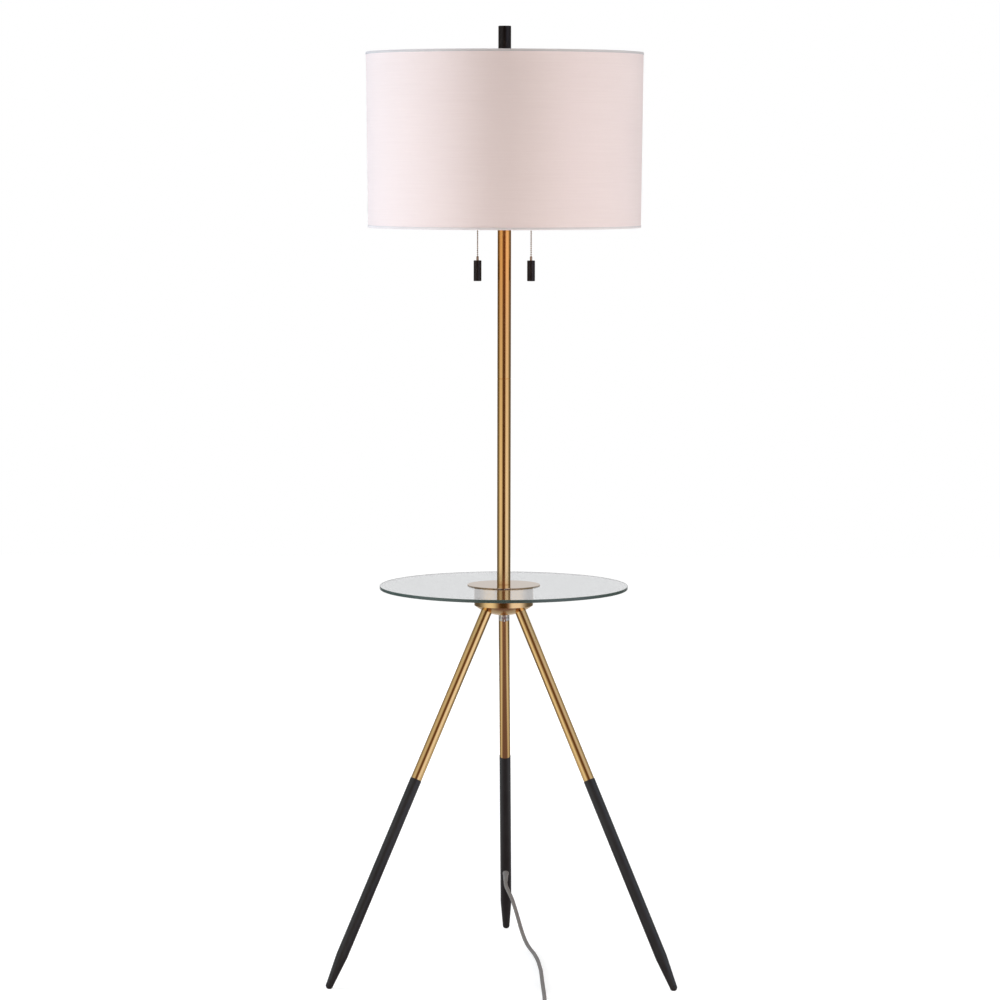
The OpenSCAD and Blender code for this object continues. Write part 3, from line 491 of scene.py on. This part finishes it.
def glass_edge():
    """The polished edge, drawn opaque with painted light: the dark greenish colour of the light
    that comes out of the glass there, lighter towards its upper and lower corners as a painted
    highlight.
    """
    m = Mat("glass_edge", IOR=1.5)
    height = m.node("SeparateXYZ", m.coords()).outputs["Z"]
    off_middle = m.calc("ABSOLUTE", m.calc("SUBTRACT", height, GLASS_MIDDLE))
    streak = m.noise((60, 60, 900), 3.0, 0.6)
    # painted highlight: lighter away from the middle of the edge's height
    both = m.weighted((streak, 0.5), (off_middle, 120))
    m.tone(both, (0.040, 0.058, 0.052), (0.062, 0.088, 0.078), (0.2, 0.55))
    m.gloss(streak, 0.06, 0.12)
    m.bump(streak, 0.000002, 0.3)
    return m.material


def clear_plastic():
    m = Mat("clear_washer", IOR=1.49, Transmission_Weight=0.9)
    cloud = m.noise(120, 2.0, 0.5)
    m.tone(cloud, (0.86, 0.85, 0.83), (0.93, 0.93, 0.92))
    m.gloss(cloud, 0.12, 0.2)
    m.bump(cloud, 0.00002, 0.5)
    return m.material


def frosted_bulb():
    m = Mat("bulb_frosted", Coat_Weight=0.15, Coat_Roughness=0.2)
    cloud = m.noise(60, 3.0, 0.5)
    m.tone(cloud, (0.86, 0.84, 0.80), (0.90, 0.88, 0.85))
    m.gloss(cloud, 0.3, 0.36)
    m.bump(m.noise(2500, 2.0, 0.5), 0.00002, 0.4)
    return m.material


def cord_sheath():
    m = Mat("cord_sheath", Specular_IOR_Level=0.4)
    cloud = m.noise(45, 3.0, 0.5)
    m.tone(cloud, (0.172, 0.158, 0.148), (0.208, 0.190, 0.178))
    m.gloss(cloud, 0.42, 0.55)
    m.bump(m.noise(1400, 2.0, 0.5), 0.00003, 0.6)
    return m.material


def fabric(name, low, high, through=0.16, depth=0.00009):
    """Plain linen-like weave with slubs that run round the shade, by the surface coordinate.
    A share of the light goes through it."""
    m = Mat(name, Specular_IOR_Level=0.18, Sheen_Weight=0.12, Sheen_Roughness=0.5)
    weft = m.noise((26, 1700, 1), 3.0, 0.62, which="UV")
    warp = m.noise((1500, 34, 1), 2.0, 0.6, which="UV")
    slub = m.noise((9, 420, 1), 2.0, 0.55, which="UV")
    place = m.coords(which="UV")
    over = m.wave(place, WEFT_PITCH, "Y", 0.6, 1.0)
    under = m.wave(place, WARP_PITCH, "X", 0.5, 1.0)
    base = m.tone(m.weighted((weft, 0.45), (warp, 0.15), (slub, 0.40)), low, high, (0.34, 0.66))
    m.gloss(weft, 0.78, 0.92)
    height = m.weighted((m.calc("MULTIPLY", over, under), 0.35), (weft, 0.45), (slub, 0.2))
    normal = m.bump(height, depth, 0.55)
    if through:
        glow = m.node("BsdfTranslucent", Color=base, Normal=normal).outputs["BSDF"]
        m.put(m.mix_shader(through, m.shader.outputs["BSDF"], glow), m.output.inputs["Surface"])
    return m.material


MAT = {
    "brass_pole": tube_finish("brass_pole", (0, 0, 0), POLE_PAINTED_LIGHT),
    "brass_leg_back": tube_finish("brass_leg_back", leg_rotation(90), LEG_TINTS),
    "brass_leg_left": tube_finish("brass_leg_left", leg_rotation(210), LEG_TINTS),
    "brass_leg_right": tube_finish("brass_leg_right", leg_rotation(330), LEG_TINTS),
    "brass_turned": brass_parts(),
    "brass_disc": brass_disc(),
    "black_turned": turned_black(),
    "clear_washer": clear_plastic(),
    "glass": glass(),
    "glass_edge": glass_edge(),
    "nut": knurled(),
    "bulb": frosted_bulb(),
    "cord": cord_sheath(),
    # colours from and to, roughness from and to, then the grain
    "chain": metal("chain_beads", (0.47, 0.33, 0.22), (0.56, 0.40, 0.28), (0.22, 0.32), 300),
    "plated": metal("zinc_plated", (0.56, 0.56, 0.55), (0.68, 0.68, 0.66), (0.25, 0.38), 120),
    "nickel": metal("bright_nickel", (0.74, 0.74, 0.73), (0.84, 0.84, 0.83), (0.06, 0.12),
                    80, 0.000001),
    "hub_plate": metal("satin_plate", (0.92, 0.81, 0.76), (0.97, 0.87, 0.82), (0.3, 0.4), 40),
    "thread_z": threaded("threaded_rod", (0.55, 0.55, 0.53), (0.66, 0.66, 0.64), (0.28, 0.4),
                         ROD_PITCH, "Z"),
    "lamp_base": threaded("lamp_base", (0.66, 0.66, 0.65), (0.78, 0.78, 0.77), (0.2, 0.3),
                          BASE_PITCH, "X"),
    "black_satin": painted("black_satin", (0.013, 0.013, 0.013), (0.019, 0.019, 0.019),
                           (0.34, 0.42), 900, 0.00002),
    "silicone": painted("silicone_clear", (0.72, 0.69, 0.68), (0.78, 0.75, 0.74), (0.35, 0.45),
                        700, 0.00003),
    "foot_plastic": painted("foot_plastic", (0.014, 0.014, 0.014), (0.022, 0.022, 0.022),
                            (0.45, 0.55), 900, 0.00003, 0.4),
    "bushing_grey": painted("bushing_grey", (0.185, 0.175, 0.166), (0.215, 0.204, 0.194),
                            (0.4, 0.5), 1100, 0.00002),
    "insulator": painted("insulator_black", (0.014, 0.013, 0.012), (0.022, 0.02, 0.018),
                         (0.22, 0.32), 500, 0.00001),
    "liner": painted("shade_liner", (0.86, 0.82, 0.79), (0.90, 0.86, 0.83), (0.4, 0.5),
                     600, 0.00001),
    "plug": painted("plug_plastic", (0.105, 0.105, 0.105), (0.135, 0.135, 0.135), (0.42, 0.55),
                    1300, 0.00003),
    "wire": painted("wire_insulation", (0.018, 0.018, 0.018), (0.03, 0.03, 0.03), (0.4, 0.5),
                    900, 0.00001),
    "fabric": fabric("shade_fabric", (0.845, 0.735, 0.712), (0.88, 0.772, 0.75)),
    # painted shade: the hems are the cloth's weave coloured darker than the cloth, the top one
    # darker still
    "hem_top": fabric("shade_hem_top", (0.50, 0.475, 0.48), (0.58, 0.555, 0.56), 0.0, 0.00007),
    "hem_bottom": fabric("shade_hem_bottom", (0.61, 0.57, 0.57), (0.70, 0.66, 0.66), 0.0, 0.00007),
}

WEARS = {
    "hub_shell": "brass_turned", "hub_plate": "hub_plate", "hub_screws": "plated",
    "hub_nipple": "thread_z", "hub_nut": "plated", "glass_gasket": "silicone", "glass_top": "glass",
    "flange_pad": "clear_washer", "table_flange": "brass_disc", "leg_upper_left": "brass_leg_left",
    "leg_upper_right": "brass_leg_right", "leg_upper_back": "brass_leg_back",
    "leg_lower_left": "black_satin", "leg_lower_right": "black_satin",
    "leg_lower_back": "black_satin", "leg_top_studs": "plated", "leg_top_bushes": "plated",
    "leg_joint_studs": "plated", "leg_joint_bushes": "plated", "foot_glides": "foot_plastic",
    "wired_leg_nut": "nut", "cord_bushing": "bushing_grey", "lower_pole": "brass_pole",
    "upper_pole": "brass_pole", "pole_joint_stud": "thread_z", "pole_bushes": "plated",
    "cluster_nipple": "thread_z", "cluster_body": "brass_turned", "socket_nipples": "plated",
    "socket_cap_left": "brass_turned", "socket_cap_right": "brass_turned",
    "socket_shell_left": "brass_turned", "socket_shell_right": "brass_turned",
    "socket_core_left": "insulator", "socket_core_right": "insulator", "screw_shells": "lamp_base",
    "socket_contacts": "plated", "chain_guides": "plated", "riser_rod": "brass_turned",
    "riser_seat": "brass_turned", "inner_wiring": "wire", "bulb_base_left": "lamp_base",
    "bulb_base_right": "lamp_base", "bulb_glass_left": "bulb", "bulb_glass_right": "bulb",
    "switch_clip_left": "plated", "switch_clip_right": "plated", "pull_chain_left": "chain",
    "pull_chain_right": "chain", "chain_pull_left": "black_turned",
    "chain_pull_right": "black_turned", "shade_spider": "nickel", "shade_bottom_ring": "nickel",
    "finial": "black_turned", "shade_drum": "fabric", "shade_trim_top": "hem_top",
    "shade_trim_bottom": "hem_bottom", "cord_run": "cord", "cord_coil": "cord",
    "power_plug": "plug",
}


def dress(ob, key):
    ob.data.materials.clear()
    ob.data.materials.append(MAT[key])


for name, ob in nodes.items():
    dress(ob, WEARS[name])
    ob.data.polygons.foreach_set("use_smooth", [True] * len(ob.data.polygons))

# the upright faces of the glass, near its edge, wear the edge's material with its painted light
NEAR_EDGE, FLAT = 0.15, 0.9
rim = nodes["glass_top"].data
rim.materials.append(MAT["glass_edge"])
for f in rim.polygons:
    if math.hypot(f.center.x, f.center.y) > NEAR_EDGE and abs(f.normal.z) < FLAT:
        f.material_index = 1


def piece(ob, key, body, slot, *stands_for):
    """Dresses one of the scene's own pieces, puts it on its body and hides the parts that it stands
    for.
    """
    dress(ob, key)
    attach(ob, body)
    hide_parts(*stands_for)


# ---- cord and plug ----

# the strain relief, in millimetres from the cord's end: its tip (distance, radius), then ribs
# that grow, each a round of (distance on from the rib's start, change of radius)
RELIEF_TIP = ((0, 3.15), (0.2, 3.5))
RIBS, RIBS_AT, RIB_PITCH, RIB_R, RIB_GROWTH = 7, 1.2, 3.7, 3.7, 0.27
RIB = ((0, 0), (2.1, 0.12), (2.4, -0.75), (3.4, -0.72))
RELIEF_END, RELIEF_END_R = 28.5, 5.6
# the plug's body: distance from the relief's end, half width, half height, squareness
BODY = (
    (1.0, 7.2, 6.6, 2.3), (3.0, 9.2, 7.8, 2.8), (5.5, 10.9, 9.0, 3.4), (8.0, 11.7, 9.7, 4),
    (10.5, 11.9, 9.9, 4.5), (13.0, 11.4, 9.9, 4.6), (15.5, 11.1, 9.9, 4.8), (18.0, 11.4, 9.9, 5),
    (20.5, 12.0, 10.0, 5.5), (24.0, 12.0, 10.0, 6), (25.0, 11.8, 9.8, 6), (25.5, 11.2, 9.2, 6),
)
# the blades: apart, where their tips are, how deep they sit, and the chamfer's length and width
BLADE_GAP, BLADE_TIP, BLADE_IN, CHAMFER = 12.7, -79.0, 0.8, (1.6, 1.3)
HALF_WIDTH, HALF_THICK = 3.15, 0.75
HOLE_IN, HOLE_R, HOLE_SIDES = 3.9, 1.4, 20


def plug_ring(x, half_w, half_h, power=2, count=48):
    """Points round the plug's axis: a circle at power 2, squarer with more."""
    pts = []
    for i in range(count):
        a = 2 * math.pi * i / count
        c, s = math.cos(a), math.sin(a)
        y = PLUG_Y + half_w * math.copysign(abs(c) ** (2 / power), c)
        z = PLUG_Z + half_h * math.copysign(abs(s) ** (2 / power), s)
        pts.append(metres(x, y, z))
    return pts


def build_plug():
    """Moulded two-blade plug: ribbed relief, body with rounded edges and finger grips."""
    rings = [plug_ring(PLUG_X - dx, r, r) for dx, r in RELIEF_TIP]
    for k in range(RIBS):
        x = PLUG_X - RIBS_AT - RIB_PITCH * k
        r = RIB_R + RIB_GROWTH * k
        rings += [plug_ring(x - dx, r + more, r + more) for dx, more in RIB]
    body_x = PLUG_X - RELIEF_END
    rings.append(plug_ring(body_x, RELIEF_END_R, RELIEF_END_R))
    rings += [plug_ring(body_x - dx, *shape) for dx, *shape in BODY]
    return sharpen(loft("plug_body", rings), 50), body_x - BODY[-1][0]


def build_blades(face_x):
    """The two flat blades, each with a chamfered tip and its round hole."""
    back, cut, narrow = face_x + BLADE_IN, BLADE_TIP + CHAMFER[0], HALF_WIDTH - CHAMFER[1]
    outline = [(back, -HALF_WIDTH), (cut, -HALF_WIDTH), (BLADE_TIP, -narrow),
               (BLADE_TIP, narrow), (cut, HALF_WIDTH), (back, HALF_WIDTH)]
    angles = [2 * math.pi * i / HOLE_SIDES for i in range(HOLE_SIDES)]
    hole = [(BLADE_TIP + HOLE_IN + HOLE_R * math.cos(a), HOLE_R * math.sin(a)) for a in angles]
    bm = bmesh.new()
    for side in (-1, 1):
        faces = []
        for thick in (-HALF_THICK, HALF_THICK):
            y = PLUG_Y + side * BLADE_GAP / 2 + thick
            loops = [[bm.verts.new(metres(x, y, PLUG_Z + z)) for x, z in loop]
                     for loop in (outline, hole)]
            edges = [bm.edges.new((p[i], p[j])) for p in loops for i, j in round_loop(len(p))]
            bmesh.ops.triangle_fill(bm, use_beauty=True, edges=edges)
            faces.append(loops)
        for a, b in zip(*faces):
            for i, j in round_loop(len(a)):
                bm.faces.new((a[i], a[j], b[j], b[i]))
    bmesh.ops.recalc_face_normals(bm, faces=bm.faces)
    me = bpy.data.meshes.new("plug_blades")
    bm.to_mesh(me)
    bm.free()
    return add("plug_blades", me)


def build_cord():
    """One round spline along the whole route, and its length in metres."""
    pts = cord_points()
    cu = bpy.data.curves.new("cord", "CURVE")
    cu.dimensions = "3D"
    cu.bevel_depth = CORD_D / 2000
    cu.bevel_resolution = 6
    cu.use_fill_caps = True
    sp = cu.splines.new("POLY")
    sp.points.add(len(pts) - 1)
    for q, p in zip(sp.points, pts):
        q.co = (*metres(*p), 1)
    sp.use_smooth = True
    length = sum(float(np.linalg.norm(b - a)) for a, b in zip(pts, pts[1:])) / 1000
    return add("cord", cu), length


cord, cord_length = build_cord()
plug, face_x = build_plug()
blades = build_blades(face_x)
piece(cord, "cord", "stand", "cord_grey", "cord_run", "cord_coil")
piece(plug, "plug", "stand", "plug_plastic", "power_plug")
piece(blades, "nickel", "stand", "nickel", "power_plug")


# ---- shade ----

# heights and radii of the shade's lower and upper edge, in metres
Z0, Z1, R0, R1 = 1.1665, 1.4350, 0.2114, 0.2142
# thickness of the cloth and of its backing, and the gap between them
CLOTH, BACKING, APART = 0.0006, 0.0005, 0.00003
# the cloth's overlap: width, thickness, how far it stands out, and its sides
LAP, LAP_THICK, LAP_RAISED, LAP_SIDES = 0.01, 0.0005, 0.0004, 8
# the folded tape: distance outwards from the shade's radius, and beyond the shade's edge
HEM = (
    (0.00003, -0.0032), (0.00035, -0.00325), (0.0005, -0.0028), (0.000465, -0.0018),
    (0.0005, -0.0006), (0.0004, 0.0001), (0.00015, 0.00045), (-0.0006, 0.0005), (-0.0015, 0.0003),
    (-0.0017, -0.0004), (-0.0016, -0.0019), (-0.0017, -0.0029), (-0.0012, -0.0031),
    (-0.0012, -0.0002), (0, -0.0002),
)


def layer(name, face, thick, *turn):
    """A thin layer whose outer face is given, turned about the lamp's axis."""
    return sharpen(lathe(name, face + [(r - thick, z) for r, z in reversed(face)], *turn))


def build_shade(steps=24):
    """Cloth, stiff backing, and the overlap where the cloth is joined, away from the camera."""
    slope = (R1 - R0) / (Z1 - Z0)
    heights = [Z0 + (Z1 - Z0) * i / steps for i in range(steps + 1)]
    outer = [(R0 + slope * (z - Z0), z) for z in heights]
    cloth = layer("shade_cloth", outer, CLOTH)
    liner = layer("shade_backing", [(r - CLOTH - APART, z) for r, z in outer], BACKING)
    turn = (LAP_SIDES, math.pi / 2 - LAP / 2 / R1, LAP / R1)
    seam = layer("shade_seam", [(r + LAP_RAISED, z) for r, z in outer], LAP_THICK, *turn)
    return cloth, liner, seam


def build_hem(name, r, z, up):
    """Folded tape over the edge: rounded rim, soft lower lip on both faces."""
    return sharpen(lathe(name, [(r + out, z + up * over) for out, over in HEM]))


cloth, liner, seam = build_shade()
hem_top = build_hem("shade_hem_top", R1, Z1, 1)
hem_bottom = build_hem("shade_hem_bottom", R0, Z0, -1)
piece(cloth, "fabric", "shade", "shade_fabric", "shade_drum")
piece(liner, "liner", "shade", "shade_fabric", "shade_drum")
piece(seam, "fabric", "shade", "shade_fabric", "shade_drum")
piece(hem_top, "hem_top", "shade", "shade_edge", "shade_trim_top")
piece(hem_bottom, "hem_bottom", "shade", "shade_edge", "shade_trim_bottom")


# ---- floor, backdrop and lights ----

# How bright metal and glass see the studio, by the angle in degrees from the camera's side, with
# the right side positive. LEVEL is the far floor and what lies below HORIZON, ABOVE is higher up,
# and NEAR is the floor round the lamp.
LEVEL = [
    (-180, 0.74), (-170, 0.72), (-158, 0.26), (-145, 0.12), (-112, 0.12), (-100, 0.24), (-87, 0.45),
    (-72, 0.86), (-58, 0.95), (-44, 0.94), (-35, 0.76), (-27, 0.42), (-20, 0.16), (-14, 0.04),
    (0, 0.03), (14, 0.04), (20, 0.18), (26, 0.5), (33, 0.98), (66, 1.0), (76, 0.8), (88, 0.45),
    (100, 0.2), (112, 0.12), (145, 0.12), (158, 0.26), (170, 0.72), (180, 0.74),
]
HORIZON = [
    (-180, 0.74), (-170, 0.72), (-158, 0.26), (-145, 0.12), (-112, 0.12), (-100, 0.2), (-87, 0.34),
    (-72, 0.6), (-58, 0.66), (-44, 0.65), (-35, 0.54), (-27, 0.34), (-20, 0.2), (-14, 0.14),
    (0, 0.14), (14, 0.15), (20, 0.3), (26, 0.62), (33, 1.0), (66, 1.0), (76, 0.8), (88, 0.45),
    (100, 0.2), (112, 0.12), (145, 0.12), (158, 0.26), (170, 0.72), (180, 0.74),
]
ABOVE = [
    (-180, 0.57), (-150, 0.5), (-128, 0.3), (-105, 0.35), (-90, 0.55), (-60, 0.68), (-40, 0.66),
    (-30, 0.42), (-20, 0.2), (-12, 0.08), (12, 0.08), (20, 0.2), (30, 0.42), (40, 0.68), (60, 0.72),
    (90, 0.55), (105, 0.35), (128, 0.3), (150, 0.5), (180, 0.57),
]
NEAR = [
    (-180, 0.4), (-130, 0.45), (-110, 0.7), (-75, 0.7), (-55, 0.3), (-40, 0.16), (40, 0.16),
    (55, 0.3), (75, 0.72), (110, 0.72), (130, 0.45), (180, 0.4),
]
# between these heights of a direction the studio changes from one table to the next
HORIZON_RISE, ABOVE_RISE = (-0.045, -0.022), (0.09, 0.24)
# half of the dark gap, its half on the floor near the lamp, and where daylight ends, in degrees
GAP, NEAR_GAP, DAYLIGHT_END = 26, 56, 100
WARM, WARM_DARK = (1.6, 0.9, 0.75), (1.6, 0.9, 0.35)
DAYLIGHT, NEUTRAL = (0.97, 1, 1.25), (1, 0.99, 1.01)
DARK = 0.1  # below it the warm tint is WARM_DARK
# painted shade: the floor right under the lamp, as metal and glass see it
PAINTED_SHADE_UNDER = (0.18, 0.115, 0.13, 1)  # the floor right under the lamp
REACH = 6.0  # half the floor's side


def seen_directly(t):
    """1 for what the camera sees, also through the glass, and 0 once a ray was reflected or
    scattered."""
    ray = t.node("LightPath").outputs
    bounced = t.calc("ADD", ray["Glossy Depth"], ray["Diffuse Depth"])
    through = t.calc("MULTIPLY", ray["Is Transmission Ray"], t.calc("LESS_THAN", bounced, 0.5))
    return t.calc("MAXIMUM", ray["Is Camera Ray"], through)


def reflected(t):
    """1 for a ray that a glossy surface sent, before any scattering, and 0 for the rest."""
    ray = t.node("LightPath").outputs
    return t.calc("MULTIPLY", ray["Is Glossy Ray"], t.calc("LESS_THAN", ray["Diffuse Depth"], 0.5))


def studio_tint(angle, value, gap):
    """Warm in the dark gap behind the camera, daylight white on the right, neutral elsewhere."""
    if abs(angle) < gap:
        tint = WARM_DARK if value < DARK else WARM
    else:
        tint = DAYLIGHT if 0 < angle < DAYLIGHT_END else NEUTRAL
    return tuple(value * c for c in tint)


def around(t, vector, table, gap=GAP):
    """The studio's colour in the direction, or at the place, that a vector gives from the lamp."""
    place = t.node("SeparateXYZ", vector).outputs
    angle = t.calc("ARCTAN2", place["X"], t.calc("MULTIPLY", place["Y"], -1))
    stops = [((a + 180) / 360, studio_tint(a, v, gap)) for a, v in table]
    return t.ramp(t.remap(angle, -math.pi, math.pi), stops)


def build_world():
    """White to the camera, a pale studio with a dark gap to metal and glass, and a weak fill."""
    world = bpy.data.worlds.new("studio")
    scene.world = world
    world.use_nodes = True
    t = Tree(world.node_tree)
    t.nodes.clear()
    way = t.node("TexCoord").outputs["Generated"]
    up = t.node("SeparateXYZ", way).outputs["Z"]
    studio = around(t, way, LEVEL)
    for table, rise in ((HORIZON, HORIZON_RISE), (ABOVE, ABOVE_RISE)):
        studio = t.mix(t.remap(up, *rise, kind="SMOOTHSTEP"), studio, around(t, way, table))

    def background(colour, strength):
        return t.node("Background", Color=colour, Strength=strength).outputs[0]

    fill = background((1.0, 0.965, 0.95, 1), 0.06)
    light = t.mix_shader(reflected(t), fill, background(studio, 1.0))
    white = background((1, 1, 1, 1), 1.0)
    t.node("OutputWorld", Surface=t.mix_shader(seen_directly(t), light, white))


def build_floor():
    """Pale paper that keeps the lamp's shadow and runs out to white. Metal sees it with painted
    shade under the lamp, and darker behind the camera."""
    me = bpy.data.meshes.new("floor")
    corners = [(-REACH, -REACH, 0), (REACH, -REACH, 0), (REACH, REACH, 0), (-REACH, REACH, 0)]
    me.from_pydata(corners, [], [(0, 1, 2, 3)])
    floor = add("floor", me)
    material = bpy.data.materials.new("floor")
    material.use_nodes = True
    t = Tree(material.node_tree)
    t.nodes.clear()
    place = t.node("TexCoord").outputs["Object"]
    far = t.calc("DIVIDE", t.node("VectorMath", place, operation="LENGTH").outputs["Value"], REACH)

    def by_distance(*stops):
        """A grey by the distance from the lamp in metres."""
        return t.ramp(far, [(d / REACH, (v, v, v)) for d, v in stops])

    shade = t.node("BsdfDiffuse", Color=(0.40, 0.40, 0.40, 1)).outputs[0]
    pale = by_distance((0, 0.76), (1.0, 0.78), (2.0, 0.86), (4.0, 0.97), (REACH, 1.0))
    glow = t.node("Emission", Color=pale).outputs[0]
    paper = t.node("AddShader", shade, glow).outputs[0]
    apart = by_distance((0, 0.0), (0.27, 0.0), (0.44, 1.0), (REACH, 1.0))
    away = by_distance((0, 0.0), (0.7, 0.0), (1.1, 0.9), (2.0, 1.0), (REACH, 1.0))
    colour = PAINTED_SHADE_UNDER
    for share, table, gap in ((apart, NEAR, NEAR_GAP), (away, LEVEL, GAP)):
        colour = t.mix(share, colour, around(t, place, table, gap))
    mirrored = t.node("Emission", Color=colour).outputs[0]
    plain = t.node("BsdfDiffuse", Color=(0.45, 0.45, 0.45, 1)).outputs[0]
    light = t.mix_shader(reflected(t), plain, mirrored)
    t.node("OutputMaterial", Surface=t.mix_shader(seen_directly(t), light, paper))
    me.materials.append(material)


def lamp(name, place, aim, size, power, color=(1, 1, 1)):
    """A soft rectangular light that neither the camera nor a reflection sees."""
    light = bpy.data.lights.new(name, "AREA")
    light.shape = "RECTANGLE"
    light.size, light.size_y = size
    light.energy = power
    light.color = color
    ob = add(name, light)
    ob.location = place
    ob.rotation_euler = (Vector(aim) - Vector(place)).to_track_quat("-Z", "Y").to_euler()
    ob.visible_camera = False
    ob.visible_glossy = False
    ob.visible_transmission = False


build_world()
build_floor()
lamp("soft_front", (0.0, -2.6, 0.5), (0, 0, 1.2), (1.4, 0.8), 47, (1.0, 0.935, 0.90))
lamp("soft_left", (-3.4, 0.0, 1.3), (0, 0, 1.0), (1.0, 2.4), 129, (0.83, 0.915, 1.0))
lamp("soft_right", (3.4, 0.0, 1.3), (0, 0, 1.0), (1.0, 2.4), 84, (0.98, 0.98, 1.0))
lamp("soft_back", (0.0, 3.6, 1.6), (0, 0, 1.0), (2.0, 2.0), 50)
lamp("soft_top", (0.0, 0.0, 3.8), (0, 0.001, 0), (2.0, 2.0), 36)
